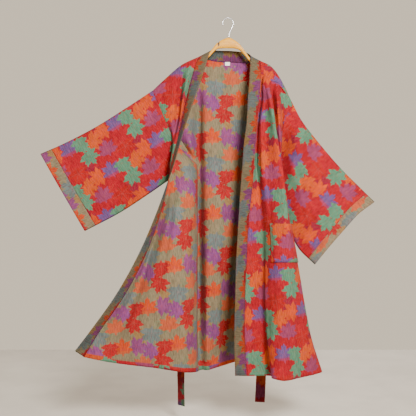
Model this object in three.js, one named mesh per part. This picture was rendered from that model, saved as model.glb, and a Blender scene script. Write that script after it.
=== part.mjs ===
// A kimono bathrobe on its wooden hanger, open at the front, in millimetres with +Z up.
// The origin is the point inside the hook that the hanger hangs from. The robe faces -Y, +X is to
// the right of someone who looks at its front, and left and right below are that person's.
import * as THREE from 'three';

// Driving sizes.
const WALL = 2; // cloth, drawn as one wall
const SEAM_GAP = 0.4; // clear gap between two pieces that are sewn together
const BAND_WIDTH = 43; // neckband that runs round the neck and down both fronts
const CUFF_WIDTH = 44; // strip sewn to the end of each sleeve
const BELT = { width: 39, thickness: 3 };
const LOOP = { width: 5, thickness: 2, reach: 37 };
const LABEL = { width: 18, height: 13, thickness: 1, stand: 1.2 };
const HOOK = { radius: 20, wire: 3.5, sides: 8, steps: 26, from: -35, to: 200, step: 23.5 };
const OVER_HANGER = 12; // how far the cloth stands off the hanger's bar, below and beside it
const OVER_EDGE = 6; // the same at the armhole, past the end of the bar

// Fold lines are placed where the photograph shows them: across and down in its frame of 416 by
// 416 pixels, then the depth in millimetres behind the hook. PIXEL is a pixel's size at the hook.
const PIXEL = 3.7;
const FRAME_CENTRE = 208;
const HOOK_SEEN = { across: 228, down: 18.5 };
const EYE = {
  x: (FRAME_CENTRE - HOOK_SEEN.across) * PIXEL,
  z: (HOOK_SEEN.down - FRAME_CENTRE) * PIXEL,
  distance: 2600,
};

// The tables' rows are numbered from the shoulder, row 0, to the hem, row 12. Row 1 is where the
// cloth comes off the hanger, and the armholes end at the underarm, row 6.
const OFF_HANGER = 1;
const UNDERARM = 6;
const HEM = 12;

// The neckband, a row for each height: its free edge, and the seam that it turns towards.
const LEFT_BAND = [
  { free: [210, 51, -3], seam: [199, 56.8, 0] },
  { free: [208.3, 57.1, -19], seam: [197.6, 60.2, -13] },
  { free: [202.6, 76, -36], seam: [192.3, 76, -19] },
  { free: [195.1, 97, -57], seam: [186.7, 97, -28] },
  { free: [186.6, 122, -76], seam: [181.1, 122, -38] },
  { free: [179.3, 146, -99], seam: [175.6, 146, -58] },
  { free: [174.6, 163, -107], seam: [171.4, 163, -66] },
  { free: [167.3, 183, -113], seam: [168, 183, -70] },
  { free: [155.2, 216, -122], seam: [159.5, 216.5, -83] },
  { free: [138.2, 255, -127], seam: [144.5, 257, -92] },
  { free: [116.5, 294, -130], seam: [123.6, 297, -96] },
  { free: [91, 330, -126], seam: [98.5, 334, -92] },
  { free: [74.9, 351, -116], seam: [84, 357, -98] },
];
const RIGHT_BAND = [
  { free: [250.3, 55.8, -4], seam: [261, 61.3, 0] },
  { free: [250.3, 60, -17], seam: [261.6, 65, -13] },
  { free: [249.4, 78, -34], seam: [260.9, 78, -28] },
  { free: [247.9, 98, -48], seam: [259.5, 98, -40] },
  { free: [246.7, 121.5, -66], seam: [257, 121.5, -48] },
  { free: [243.6, 146, -58], seam: [255.4, 146, -52] },
  { free: [242.3, 165, -56], seam: [253.9, 165, -52] },
  { free: [240.3, 190, -50], seam: [251.6, 190, -46] },
  { free: [238.3, 223.5, -56], seam: [247.7, 223.5, -38] },
  { free: [236.1, 262.4, -52], seam: [246.5, 262.4, -34] },
  { free: [235.2, 298, -54], seam: [244.8, 298, -32] },
  { free: [234.3, 334, -50], seam: [244.2, 334, -33] },
  { free: [235, 375.8, -42], seam: [246.5, 376, -38] },
];
// Round the back of the neck, between the two shoulders.
const NECK_BAND = [
  { free: [213.2, 50.4, 18], seam: [205, 60.4, 24] },
  { free: [219.5, 50.7, 31], seam: [216, 61.8, 39] },
  { free: [231, 51, 36], seam: [231, 62.1, 44] },
  { free: [243, 52.2, 27], seam: [246.5, 62.2, 35] },
  { free: [248.6, 53.8, 12], seam: [256.5, 61.6, 18] },
];

// The outer edges: each shoulder, armhole and side seam.
const LEFT_SHOULDER = [[199, 56.8, 0], [181.7, 65, 0], [166, 78.3, 0], [152.6, 90.8, 0]];
const RIGHT_SHOULDER = [[261, 61.3, 0], [270.7, 66.2, 0], [279.9, 78, 0], [287, 92.5, 0], [293, 104.5, 0]];
const LEFT_ARMHOLE = {
  front: [[152.6, 90.8, 0], [153.8, 94, -7], [156, 99, -13], [159.7, 107, -19], [165.8, 121.5, -31],
    [177.5, 145, -8], [196.6, 165, 30]],
  back: [[152.6, 90.8, 0], [153.4, 94.3, 7], [155.5, 99.5, 11], [159.5, 108, 12], [168, 121.5, 10],
    [185, 146, 12], [196.6, 165, 30]],
};
const RIGHT_ARMHOLE = {
  front: [[293, 104.5, 0], [291, 107.5, -8], [288, 112, -13], [285, 119, -15], [282.6, 131, -8],
    [278, 155, 12], [266, 188, 42]],
  back: [[293, 104.5, 0], [292, 108.5, 8], [289.5, 115, 14], [286, 124, 18], [282, 138, 25],
    [276, 160, 34], [266, 188, 42]],
};
const LEFT_SIDE = [[196.6, 165, 30], [197.6, 183, 36], [197.6, 216, 40], [197.4, 255, 40],
  [197.2, 294, 41], [197, 332, 42], [197.8, 371.4, 42]];
const RIGHT_SIDE = [[266, 188, 42], [270, 201, 48], [278, 226, 56], [287, 263, 65],
  [292.5, 298, 71], [298.5, 334, 75], [308, 362.5, 80]];

// The inner fold lines of each panel from row 2 to the hem, in order from its first edge.
const LEFT_FRONT = [
  { near: [187.5, 76, -33], low: [182.4, 76.5, -13], mid: [176.5, 79.5, -26], full: [169, 84.5, -20], wall: [161, 91, -14] },
  { near: [183.2, 97.5, -46], low: [179.8, 98.5, -18], mid: [174.5, 99.5, -34], full: [168.5, 100.5, -32], wall: [163, 102.5, -24] },
  { near: [179.8, 122, -52], low: [177.2, 122, -28], mid: [173.5, 121.5, -40], full: [170.5, 121, -42], wall: [168, 120.5, -38] },
  { near: [173.8, 146, -56], low: [172.6, 146, -44], mid: [172.8, 145.5, -32], full: [174, 145.3, -22], wall: [175.6, 145, -14] },
  { near: [170.2, 163, -54], low: [171.5, 163, -42], mid: [176, 163, -38], full: [183.5, 163.5, -36], wall: [191.5, 164, -14] },
  { near: [169.2, 183, -57], low: [173.5, 183, -56], mid: [180, 183, -60], full: [189, 183, -54], wall: [195.7, 183, -16] },
  { near: [161.6, 216.5, -67], low: [169.5, 216, -96], mid: [177.5, 216, -104], full: [189.5, 216, -88], wall: [196, 216, -30] },
  { near: [150, 256, -70], low: [159, 255, -97], mid: [171, 255, -108], full: [188.3, 255, -90], wall: [195.7, 255, -30] },
  { near: [135.5, 295, -64], low: [146.5, 294, -90], mid: [165, 294, -102], full: [187, 294, -82], wall: [195.4, 294, -28] },
  { near: [117, 333.5, -64], low: [131, 333, -82], mid: [158, 332, -86], full: [185.5, 332, -64], wall: [195.1, 332, -20] },
  { near: [104, 361.2, -70], low: [126, 364.5, -66], mid: [156, 368, -62], full: [184, 372.3, -44], wall: [194.5, 372.2, -8] },
];
const RIGHT_FRONT = [
  { dip: [262.2, 78, -18], rib: [263.6, 78, -30], lap: [265.2, 78.5, -38], ridge: [268, 79, -44], gap: [271.3, 80.5, -16], rear: [276.8, 83, -32], hollow: [281.6, 91, -12] },
  { dip: [261.6, 98, -24], rib: [263, 98, -42], lap: [265.6, 98, -50], ridge: [270.3, 98.5, -66], gap: [272.6, 99, -18], rear: [278, 100, -44], hollow: [281.6, 104, -10] },
  { dip: [258.4, 122, -28], rib: [261, 122, -56], lap: [264.8, 122, -48], ridge: [274.2, 122.5, -80], gap: [274.8, 123, -22], rear: [279.2, 124, -40], hollow: [282.4, 127, -8] },
  { dip: [256.9, 147, -30], rib: [261, 147, -60], lap: [266, 147, -54], ridge: [278.6, 147.5, -84], gap: [278, 148.5, -24], rear: [280.5, 150, -30], hollow: [281, 152, -2] },
  { dip: [256.4, 166, -30], rib: [261.5, 166, -60], lap: [266.5, 166.5, -60], ridge: [281.8, 168, -86], gap: [281.8, 170, -40], rear: [280, 173, -4], hollow: [275, 179, 22] },
  { dip: [258.6, 190, -30], rib: [263.5, 190, -54], lap: [269.5, 190.5, -66], ridge: [284.6, 191.5, -88], gap: [285.3, 192.5, -52], rear: [282.5, 195, -6], hollow: [277, 198, 28] },
  { dip: [261.4, 223.5, -28], rib: [266.5, 223.5, -50], lap: [274, 223.5, -76], ridge: [287.5, 223.8, -88], gap: [289.9, 224, -52], rear: [288.3, 224.5, -8], hollow: [284.5, 225, 34] },
  { dip: [262.2, 262.4, -24], rib: [267.5, 262.4, -53], lap: [276, 262.4, -84], ridge: [292, 262.4, -84], gap: [296.8, 262.5, -44], rear: [296.7, 262.8, -10], hollow: [293, 263, 42] },
  { dip: [261.5, 298, -24], rib: [267, 298, -57], lap: [277.7, 298, -92], ridge: [295, 298, -76], gap: [303, 298, -32], rear: [303.3, 298, 4], hollow: [300, 298, 48] },
  { dip: [263, 334, -28], rib: [268.3, 334, -66], lap: [279.8, 334, -99], ridge: [298.3, 334, -64], gap: [309.8, 334, -18], rear: [310.3, 334, 18], hollow: [307, 334, 54] },
  { dip: [271, 375.9, -37], rib: [272.6, 378.6, -96], lap: [284, 381, -114], ridge: [300, 377.8, -66], gap: [318, 373.6, -8], rear: [322, 371.5, 22], hollow: [317.5, 366.5, 58] },
];
const BACK = [
  { strip: [186, 80, 8], crease: [199.3, 77, 22], brow: [206, 77, 32], left: [217, 77, 42], centre: [232, 77, 45], right: [247, 77, 38], edge: [262, 78, 16], turn: [277, 86, 8] },
  { strip: [187, 100, 2], crease: [198.6, 98, 42], brow: [206, 98, 24], left: [217, 98, 36], centre: [232, 98, 42], right: [247, 98, 40], edge: [262, 98, 26], turn: [276, 103, 18] },
  { strip: [187.5, 122, 0], crease: [198.4, 122, 48], brow: [205.8, 122, 20], left: [217, 122, 32], centre: [232, 122, 42], right: [247, 122, 44], edge: [262, 123, 36], turn: [273, 126, 30] },
  { strip: [191, 147, 0], crease: [198.3, 146, 50], brow: [205.6, 146, 18], left: [217, 146, 28], centre: [232, 146, 40], right: [247, 146, 48], edge: [261, 147, 46], turn: [269.5, 150, 42] },
  { strip: [198, 165, 46], crease: [200.2, 165, 48], brow: [206, 165, 20], left: [217, 165, 27], centre: [231.5, 165, 39], right: [247, 165, 51], edge: [258, 168, 54], turn: [263.5, 176, 51] },
  { strip: [198.4, 183, 52], crease: [200.8, 183, 48], brow: [206.3, 183, 20], left: [217, 183, 25], centre: [231, 184, 38], right: [247, 186, 55], edge: [260, 192, 64], turn: [266.5, 197, 61] },
  { strip: [198.4, 216, 56], crease: [201, 216, 48], brow: [206.5, 216, 18], left: [216, 217, 15], centre: [229, 218, 35], right: [246, 220, 64], edge: [262, 223, 79], turn: [273, 225, 76] },
  { strip: [198.2, 255, 58], crease: [201, 255, 50], brow: [206.7, 255, 16], left: [215, 256, 13], centre: [226.5, 257, 42], right: [243, 259, 78], edge: [263, 261, 96], turn: [280, 262, 90] },
  { strip: [198, 294, 60], crease: [201, 294, 54], brow: [207, 294, 21], left: [214, 295, 24], centre: [223.5, 295.5, 60], right: [240, 296, 99], edge: [263, 297, 116], turn: [284, 298, 104] },
  { strip: [197.9, 332, 62], crease: [201, 332, 58], brow: [207, 332, 33], left: [213.5, 332.5, 41], centre: [222, 333, 84], right: [238, 333, 122], edge: [263, 334, 138], turn: [288, 334, 118] },
  { strip: [198.6, 370.6, 58], crease: [201.5, 369.7, 64], brow: [207.4, 370, 54], left: [216, 367.5, 92], centre: [225.5, 364.6, 130], right: [237, 361.3, 152], edge: [263, 358.5, 166], turn: [290, 359.5, 140] },
];

// Each sleeve runs from its armhole to its cuff: the fold along its top, the fold along its bottom
// and the cuff's open edge, from the top down. The swell parts its two sides, and the root is how
// far the fold beside the armhole stands forward.
const LEFT_SLEEVE = {
  top: [[152.6, 90.8, 0], [127.3, 107.4, 0], [95.5, 127.3, 0], [65, 143.2, 0], [40.5, 154, 0]],
  bottom: [[196.6, 165, 30], [182, 172.8, 22], [168, 180.7, 14], [150, 193, 8], [120, 212.5, 2], [84.7, 231, 0]],
  mouth: [[40.5, 154, 0], [55, 179, 0], [70, 205, 0], [84.7, 231, 0]],
  swell: 12,
  root: 0,
};
const RIGHT_SLEEVE = {
  top: [[293, 104.5, 0], [300.8, 119.4, 2], [316.8, 140.6, 4], [340.6, 168.4, 5], [358, 185.8, 5], [374.5, 202, 4]],
  bottom: [[266, 188, 42], [276, 197.5, 48], [284.5, 212, 32], [291, 233, 12], [299, 248.7, 0], [314.9, 264.4, -6]],
  mouth: [[374.5, 202, 4], [358, 214, -2], [343.6, 229.6, -8], [329, 246.5, -10], [314.9, 264.4, -6]],
  swell: 15,
  root: 34,
};

// The hanger's wood, a row for each station across it, and its hook's neck.
const WOOD = [
  { across: 183, top: 66.9, bottom: 69.7, depth: 7 },
  { across: 186, top: 65, bottom: 68.9, depth: 10 },
  { across: 195, top: 60.9, bottom: 64.4, depth: 11 },
  { across: 203, top: 57.3, bottom: 61.2, depth: 11 },
  { across: 208, top: 54, bottom: 58.2, depth: 11 },
  { across: 212.5, top: 48.8, bottom: 53.6, depth: 12 },
  { across: 217, top: 43.2, bottom: 49.2, depth: 12 },
  { across: 222, top: 40, bottom: 48.4, depth: 13 },
  { across: 228.9, top: 37.7, bottom: 48.3, depth: 13 },
  { across: 235, top: 40.6, bottom: 48.6, depth: 13 },
  { across: 239.5, top: 44.2, bottom: 50.2, depth: 12 },
  { across: 245, top: 51.3, bottom: 56.2, depth: 12 },
  { across: 250, top: 57.9, bottom: 62.1, depth: 11 },
  { across: 256, top: 62.4, bottom: 66.3, depth: 11 },
  { across: 264, top: 66.7, bottom: 70.2, depth: 11 },
  { across: 271, top: 70.4, bottom: 74.3, depth: 10 },
  { across: 274, top: 72.9, bottom: 75.7, depth: 7 },
];
const WOOD_SIDES = 12;
const WOOD_SQUARENESS = 0.75; // 1 is an ellipse, less is squarer
const HOOK_FOOT = [[228.9, 37.5, 0], [229.1, 34.5, 0]];

// The belt lies across the back and hangs from a loop at each side. A row is the middle of the
// belt and the way that its width runs there, in degrees from level.
const BELT_RUN = [
  { at: [181.3, 405.5, 84], turn: 0, yaw: 45 },
  { at: [181, 388, 84], turn: 0, yaw: 48 },
  { at: [181, 368, 82], turn: 0, yaw: 42 },
  { at: [184, 330, 80], turn: 3, yaw: 25 },
  { at: [188.5, 280, 78], turn: 4, yaw: 10 },
  { at: [190, 235, 75], turn: 4, yaw: 0 },
  { at: [188, 210, 73], turn: 3, yaw: 0 },
  { at: [188, 198.5, 71], turn: 28, yaw: 0 },
  { at: [191, 192.2, 70], turn: 66, yaw: 0 },
  { at: [197, 190.7, 70], turn: 88, yaw: 0 },
  { at: [232, 193.8, 70], turn: 92, yaw: 0 },
  { at: [252, 198, 71], turn: 94, yaw: 0 },
  { at: [262, 200.4, 73.5], turn: 95, yaw: 0 },
  { at: [271, 202, 74.5], turn: 94, yaw: 0 },
  { at: [279, 204.4, 75.5], turn: 108, yaw: 0 },
  { at: [283.2, 212.5, 77], turn: 150, yaw: 0 },
  { at: [281.6, 224, 81], turn: 178, yaw: 0 },
  { at: [279, 238, 88], turn: 187, yaw: 0 },
  { at: [272, 262, 101], turn: 186, yaw: 0 },
  { at: [268, 298, 120], turn: 186, yaw: 0 },
  { at: [264.2, 334, 143], turn: 184, yaw: 0 },
  { at: [261.6, 362, 173], turn: 182, yaw: 0 },
  { at: [260.9, 380, 182], turn: 180, yaw: 0 },
  { at: [259.8, 402, 186], turn: 180, yaw: 0 },
];

const robe = new THREE.Group();
robe.name = 'kimono_bathrobe_on_hanger';

const FINISH = {
  outside: new THREE.MeshStandardMaterial({ color: 0xc23440, roughness: 0.9 }),
  reverse: new THREE.MeshStandardMaterial({ color: 0x7f9a8c, roughness: 0.9 }),
  label: new THREE.MeshStandardMaterial({ color: 0xf0ece2, roughness: 0.8 }),
  wood: new THREE.MeshStandardMaterial({ color: 0xd9a566, roughness: 0.45 }),
  wire: new THREE.MeshStandardMaterial({ color: 0xc8c8c8, roughness: 0.25, metalness: 1 }),
};

function addPiece(name, geometry, finish) {
  geometry.computeVertexNormals();
  const piece = new THREE.Mesh(geometry, finish);
  piece.name = name;
  robe.add(piece);
}

// The point that is seen at a place in the photograph, at a depth behind the hook.
function seen([across, down, depth]) {
  const scale = PIXEL * (EYE.distance + depth) / EYE.distance;
  return new THREE.Vector3(
    EYE.x + (across - FRAME_CENTRE) * scale, depth, EYE.z - (down - FRAME_CENTRE) * scale);
}

// A smooth line through points, as a function that is at point n where it is given n.
function lineThrough(points) {
  const line = new THREE.CatmullRomCurve3(points, false, 'centripetal');
  const last = points.length - 1;
  return (t) => line.getPoint(Math.min(Math.max(t / last, 0), 1));
}

// The same, but given the share of its length.
function evenLineThrough(points) {
  const line = new THREE.CatmullRomCurve3(points, false, 'centripetal');
  return (share) => line.getPointAt(Math.min(Math.max(share, 0), 1));
}

// The band's seam lies its width away from the free edge, towards the point given.
function bandSeam({ free, seam }) {
  const edge = seen(free);
  const way = seen(seam).sub(edge).normalize();
  return edge.addScaledVector(way, BAND_WIDTH);
}

const leftFree = LEFT_BAND.map((row) => seen(row.free));
const rightFree = RIGHT_BAND.map((row) => seen(row.free));
const neckFree = NECK_BAND.map((row) => seen(row.free));
const leftSeam = LEFT_BAND.map(bandSeam);
const rightSeam = RIGHT_BAND.map(bandSeam);
const neckSeam = NECK_BAND.map(bandSeam);

// The lines that two or more pieces share. Each is used by every piece that is sewn along it.
const seams = {
  leftBand: lineThrough(leftSeam),
  rightBand: lineThrough(rightSeam),
  neck: evenLineThrough([leftSeam[0], ...neckSeam, rightSeam[0]]),
  leftShoulder: evenLineThrough([leftSeam[0], ...LEFT_SHOULDER.slice(1).map(seen)]),
  rightShoulder: evenLineThrough([rightSeam[0], ...RIGHT_SHOULDER.slice(1).map(seen)]),
  leftArmFront: lineThrough(LEFT_ARMHOLE.front.map(seen)),
  leftArmBack: lineThrough(LEFT_ARMHOLE.back.map(seen)),
  rightArmFront: lineThrough(RIGHT_ARMHOLE.front.map(seen)),
  rightArmBack: lineThrough(RIGHT_ARMHOLE.back.map(seen)),
  leftSide: lineThrough(LEFT_SIDE.map(seen)),
  rightSide: lineThrough(RIGHT_SIDE.map(seen)),
};

// An outer edge is the armhole down to the underarm, and the side seam below it.
function outerEdge(armhole, side) {
  return (row) => (row <= UNDERARM ? armhole(row) : side(row - UNDERARM));
}

// The rows of a panel's grid: every row of the tables, and one halfway between most of them.
const GRID_ROWS = [0];
for (let row = OFF_HANGER; row <= HEM; row += 0.5) GRID_ROWS.push(row);

// Where the cloth comes off the hanger: down from the shoulder seam, and to the front or back.
function offHanger(shoulder, share, side) {
  const stand = THREE.MathUtils.lerp(OVER_HANGER, OVER_EDGE, THREE.MathUtils.smoothstep(share, 0.35, 0.9));
  return shoulder(share).add(new THREE.Vector3(0, side * stand, -stand));
}

// A grid of points on a panel, row by row. The first and last lines across it are given, and the
// fold lines lie between them; top(u) is its first row.
function panelGrid({ folds, first, last, top, hanger, steps }) {
  const names = Object.keys(folds[0]);
  const inner = names.map((name, index) => {
    const line = folds.map((row) => seen(row[name]));
    return lineThrough([top(index + 1), hanger(index + 1), ...line]);
  });
  return GRID_ROWS.map((row) => {
    if (row === 0) return steps.map(top);
    const across = lineThrough([first(row), ...inner.map((line) => line(row)), last(row)]);
    const points = steps.map(across);
    points[0] = first(row);
    points[steps.length - 1] = last(row);
    return points;
  });
}

function halfSteps(count) {
  return Array.from({ length: 2 * count + 1 }, (unused, index) => index / 2);
}

const LEFT_FOLDS = Object.keys(LEFT_FRONT[0]).length + 1;
const leftFrontGrid = panelGrid({
  folds: LEFT_FRONT,
  first: seams.leftBand,
  last: outerEdge(seams.leftArmFront, seams.leftSide),
  top: (u) => seams.leftShoulder(u / LEFT_FOLDS),
  hanger: (u) => offHanger(seams.leftShoulder, u / LEFT_FOLDS, -1),
  steps: halfSteps(LEFT_FOLDS),
});

const RIGHT_FOLDS = Object.keys(RIGHT_FRONT[0]).length + 1;
const rightFrontGrid = panelGrid({
  folds: RIGHT_FRONT,
  first: seams.rightBand,
  last: outerEdge(seams.rightArmFront, seams.rightSide),
  top: (u) => seams.rightShoulder(u / RIGHT_FOLDS),
  hanger: (u) => offHanger(seams.rightShoulder, u / RIGHT_FOLDS, -1),
  steps: halfSteps(RIGHT_FOLDS),
});

// The back's first two fold lines hang from the left shoulder, the last two from the right one,
// and those between from the neck. Its steps halve those of the two fronts along the shoulders.
const BACK_FOLDS = Object.keys(BACK[0]).length + 1;
const NECK_START = 2;
const NECK_END = BACK_FOLDS - 2;
function backTop(u) {
  if (u <= NECK_START) return seams.leftShoulder(1 - u / NECK_START);
  if (u < NECK_END) return seams.neck((u - NECK_START) / (NECK_END - NECK_START));
  return seams.rightShoulder((u - NECK_END) / (BACK_FOLDS - NECK_END));
}
function backOffHanger(u) {
  if (u <= NECK_START) return offHanger(seams.leftShoulder, 1 - u / NECK_START, 1);
  if (u < NECK_END) return backTop(u).add(new THREE.Vector3(0, 0, -OVER_HANGER));
  return offHanger(seams.rightShoulder, (u - NECK_END) / (BACK_FOLDS - NECK_END), 1);
}
const backSteps = [];
for (let step = 0; step < LEFT_FOLDS; step += 1) backSteps.push(NECK_START * step / LEFT_FOLDS);
for (let u = NECK_START; u < NECK_END; u += 0.5) backSteps.push(u);
for (let step = 0; step <= RIGHT_FOLDS; step += 1) {
  backSteps.push(NECK_END + (BACK_FOLDS - NECK_END) * step / RIGHT_FOLDS);
}
const backGrid = panelGrid({
  folds: BACK,
  first: outerEdge(seams.leftArmBack, seams.leftSide),
  last: outerEdge(seams.rightArmBack, seams.rightSide),
  top: backTop,
  hanger: backOffHanger,
  steps: backSteps,
});

// The neckband: up the left front, round the neck and down the right front. It is joined from two
// strips at the middle of the neck, a step that both of them share.
const neckSteps = backSteps.filter((u) => u > NECK_START && u < NECK_END);
const bandMiddle = GRID_ROWS.length + (neckSteps.length - 1) / 2;
const bandRows = [];
function bandStation(freeLine, seamLine, t) {
  bandRows.push([freeLine(t), seamLine(t)]);
}
const leftFreeLine = lineThrough(leftFree);
const rightFreeLine = lineThrough(rightFree);
const neckFreeLine = evenLineThrough([leftFree[0], ...neckFree, rightFree[0]]);
for (const row of [...GRID_ROWS].reverse()) bandStation(leftFreeLine, seams.leftBand, row);
for (const u of neckSteps) {
  bandStation(neckFreeLine, seams.neck, (u - NECK_START) / (NECK_END - NECK_START));
}
for (const row of GRID_ROWS) bandStation(rightFreeLine, seams.rightBand, row);

// A sleeve's grid: round it from the top fold down the front and up the back, and along it from
// the armhole to the cuff's edge. Between its folds it takes up the armhole's shape at its root
// and the mouth's at its end.
const ARM_ROWS = GRID_ROWS.filter((row) => row <= UNDERARM);
const SLEEVE_STEPS = [0, 0.07, 0.16, 0.28, 0.42, 0.57, 0.72, 0.87, 1];
const ROOT_FOLD = { middle: 0.2, spread: 0.12 }; // as shares of the sleeve's length
function sleeveGrid(sleeve, armFront, armBack) {
  const topFold = evenLineThrough(sleeve.top.map(seen));
  const bottomFold = evenLineThrough(sleeve.bottom.map(seen));
  const mouth = evenLineThrough(sleeve.mouth.map(seen));
  const stations = [
    ...ARM_ROWS.map((row) => ({ row, side: -1, arm: armFront })),
    ...ARM_ROWS.slice(1, -1).reverse().map((row) => ({ row, side: 1, arm: armBack })),
  ];
  const lines = stations.map(({ row, side, arm }) => {
    const fall = row / UNDERARM;
    const open = Math.sin(Math.PI * fall) ** 0.7;
    const between = (share) => topFold(share).lerp(bottomFold(share), fall);
    const atArm = arm(row).sub(between(0));
    const atMouth = mouth(fall).sub(between(1));
    return (share) => {
      const point = between(share);
      point.addScaledVector(atArm, (1 - share) ** 2).addScaledVector(atMouth, share ** 2);
      const fold = Math.exp(-(((share - ROOT_FOLD.middle) / ROOT_FOLD.spread) ** 2));
      const root = side < 0 ? sleeve.root * fold * Math.sin(Math.PI * Math.min(share * 4, 0.5)) : 0;
      point.y += side * open * (sleeve.swell * Math.sin(Math.PI * share / 2) + root);
      return point;
    };
  });
  const cuffSeam = 1 - CUFF_WIDTH / lines[0](0).distanceTo(lines[0](1));
  return {
    body: SLEEVE_STEPS.map((share) => lines.map((line) => line(share * cuffSeam))),
    cuff: [cuffSeam, 1].map((share) => lines.map((line) => line(share))),
  };
}
const leftSleeve = sleeveGrid(LEFT_SLEEVE, seams.leftArmFront, seams.leftArmBack);
const rightSleeve = sleeveGrid(RIGHT_SLEEVE, seams.rightArmFront, seams.rightArmBack);

// Every sheet of the robe. `flip` turns its normals to the outside, and a ring closes on itself.
const sheets = {
  left_front: { grid: leftFrontGrid, flip: false },
  right_front: { grid: rightFrontGrid, flip: true },
  back: { grid: backGrid, flip: false },
  left_neckband: { grid: bandRows.slice(0, bandMiddle + 1), flip: true },
  right_neckband: { grid: bandRows.slice(bandMiddle), flip: true },
  left_sleeve: { grid: leftSleeve.body, flip: true, ring: true },
  right_sleeve: { grid: rightSleeve.body, flip: false, ring: true },
  left_cuff: { grid: leftSleeve.cuff, flip: true, ring: true },
  right_cuff: { grid: rightSleeve.cuff, flip: false, ring: true },
};

// A point's neighbours along and across a grid, round the ring where it closes.
function neighbour(sheet, row, column) {
  const { grid, ring } = sheet;
  const width = grid[0].length;
  if (row < 0 || row >= grid.length) return null;
  if (ring) return grid[row][(column + width) % width];
  return column < 0 || column >= width ? null : grid[row][column];
}

function slope(before, here, after) {
  return (after || here).clone().sub(before || here);
}

// Normals of a sheet, before they are shared with the pieces that it is sewn to.
function ownNormals(sheet) {
  return sheet.grid.map((line, row) => line.map((here, column) => {
    const down = slope(neighbour(sheet, row - 1, column), here, neighbour(sheet, row + 1, column));
    const across = slope(neighbour(sheet, row, column - 1), here, neighbour(sheet, row, column + 1));
    const normal = across.normalize().cross(down.normalize());
    return normal.multiplyScalar(sheet.flip ? -1 : 1).normalize();
  }));
}

// Points in the same place are one point of the robe: their normals are summed.
const KEY_STEP = 0.01;
function key(point) {
  return [point.x, point.y, point.z].map((value) => Math.round(value / KEY_STEP)).join();
}
const shared = new Map();
const users = new Map();
for (const [name, sheet] of Object.entries(sheets)) {
  sheet.normals = ownNormals(sheet);
  sheet.grid.forEach((line, row) => line.forEach((point, column) => {
    const sum = shared.get(key(point)) || new THREE.Vector3();
    shared.set(key(point), sum.add(sheet.normals[row][column]));
    users.set(key(point), (users.get(key(point)) || new Set()).add(name));
  }));
}
for (const sheet of Object.values(sheets)) {
  sheet.normals = sheet.grid.map((line) => line.map((point) => shared.get(key(point)).clone().normalize()));
}

// Draws an edge point back from the seam: away from the plane in which the two pieces meet.
function drawBack(here, normal, along, inward) {
  const way = along.clone().cross(normal).normalize();
  return way.multiplyScalar((Math.sign(way.dot(inward)) || 1) * SEAM_GAP / 2);
}
// Where three pieces meet, each one's corner is also drawn in by CORNER_GAP.
const CORNER_GAP = 2;
function pulledGrid(sheet) {
  const lastRow = sheet.grid.length - 1;
  const lastColumn = sheet.grid[0].length - 1;
  return sheet.grid.map((line, row) => line.map((here, column) => {
    const point = here.clone();
    const normal = sheet.normals[row][column];
    const inside = [];
    if (row === 0 || row === lastRow) {
      const along = slope(neighbour(sheet, row, column - 1), here, neighbour(sheet, row, column + 1));
      const inward = neighbour(sheet, row === 0 ? 1 : lastRow - 1, column).clone().sub(here);
      point.add(drawBack(here, normal, along, inward));
      inside.push(inward);
    }
    if (!sheet.ring && (column === 0 || column === lastColumn)) {
      const along = slope(neighbour(sheet, row - 1, column), here, neighbour(sheet, row + 1, column));
      const inward = neighbour(sheet, row, column === 0 ? 1 : lastColumn - 1).clone().sub(here);
      point.add(drawBack(here, normal, along, inward));
      inside.push(inward);
    }
    if (users.get(key(here))?.size > 2) {
      for (const inward of inside) point.addScaledVector(inward.normalize(), CORNER_GAP);
    }
    return point;
  }));
}

// The fronts have twice the back's points along the shoulder seam. Each one between two shared
// points is put halfway, so that both pieces have the same straight edges.
function halveShoulder(sheet) {
  const [line] = sheet.grid;
  for (let column = 1; column < line.length; column += 2) {
    line[column].copy(line[column - 1]).add(line[column + 1]).multiplyScalar(0.5);
    sheet.normals[0][column].copy(sheet.normals[0][column - 1]).add(sheet.normals[0][column + 1]);
    sheet.normals[0][column].multiplyScalar(0.5);
  }
}

// A closed wall round a grid of points: `out` and `into` are how far its faces are from them.
function wallGeometry({ grid, normals, ring, flip }, out, into) {
  const positions = [];
  const rows = grid.length;
  const width = grid[0].length;
  for (const distance of [out, into]) {
    grid.forEach((line, row) => line.forEach((point, column) => {
      positions.push(...point.clone().addScaledVector(normals[row][column], distance).toArray());
    }));
  }
  const inner = rows * width;
  const at = (row, column) => row * width + (column % width);
  const faces = [];
  const quad = (a, b, c, d, turned) => {
    faces.push(...(turned ? [a, c, b, b, c, d] : [a, b, c, b, d, c]));
  };
  const columns = ring ? width : width - 1;
  for (let row = 0; row < rows - 1; row += 1) {
    for (let column = 0; column < columns; column += 1) {
      const corners = [at(row, column), at(row, column + 1), at(row + 1, column), at(row + 1, column + 1)];
      quad(...corners, flip);
      quad(...corners.map((corner) => corner + inner), !flip);
    }
  }
  for (let column = 0; column < columns; column += 1) {
    const last = rows - 1;
    quad(at(0, column), at(0, column + 1), at(0, column) + inner, at(0, column + 1) + inner, !flip);
    quad(at(last, column), at(last, column + 1), at(last, column) + inner, at(last, column + 1) + inner, flip);
  }
  for (let row = 0; !ring && row < rows - 1; row += 1) {
    const last = width - 1;
    quad(at(row, 0), at(row + 1, 0), at(row, 0) + inner, at(row + 1, 0) + inner, flip);
    quad(at(row, last), at(row + 1, last), at(row, last) + inner, at(row + 1, last) + inner, !flip);
  }
  const geometry = new THREE.BufferGeometry();
  geometry.setAttribute('position', new THREE.Float32BufferAttribute(positions, 3));
  geometry.setIndex(faces);
  return geometry;
}

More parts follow.
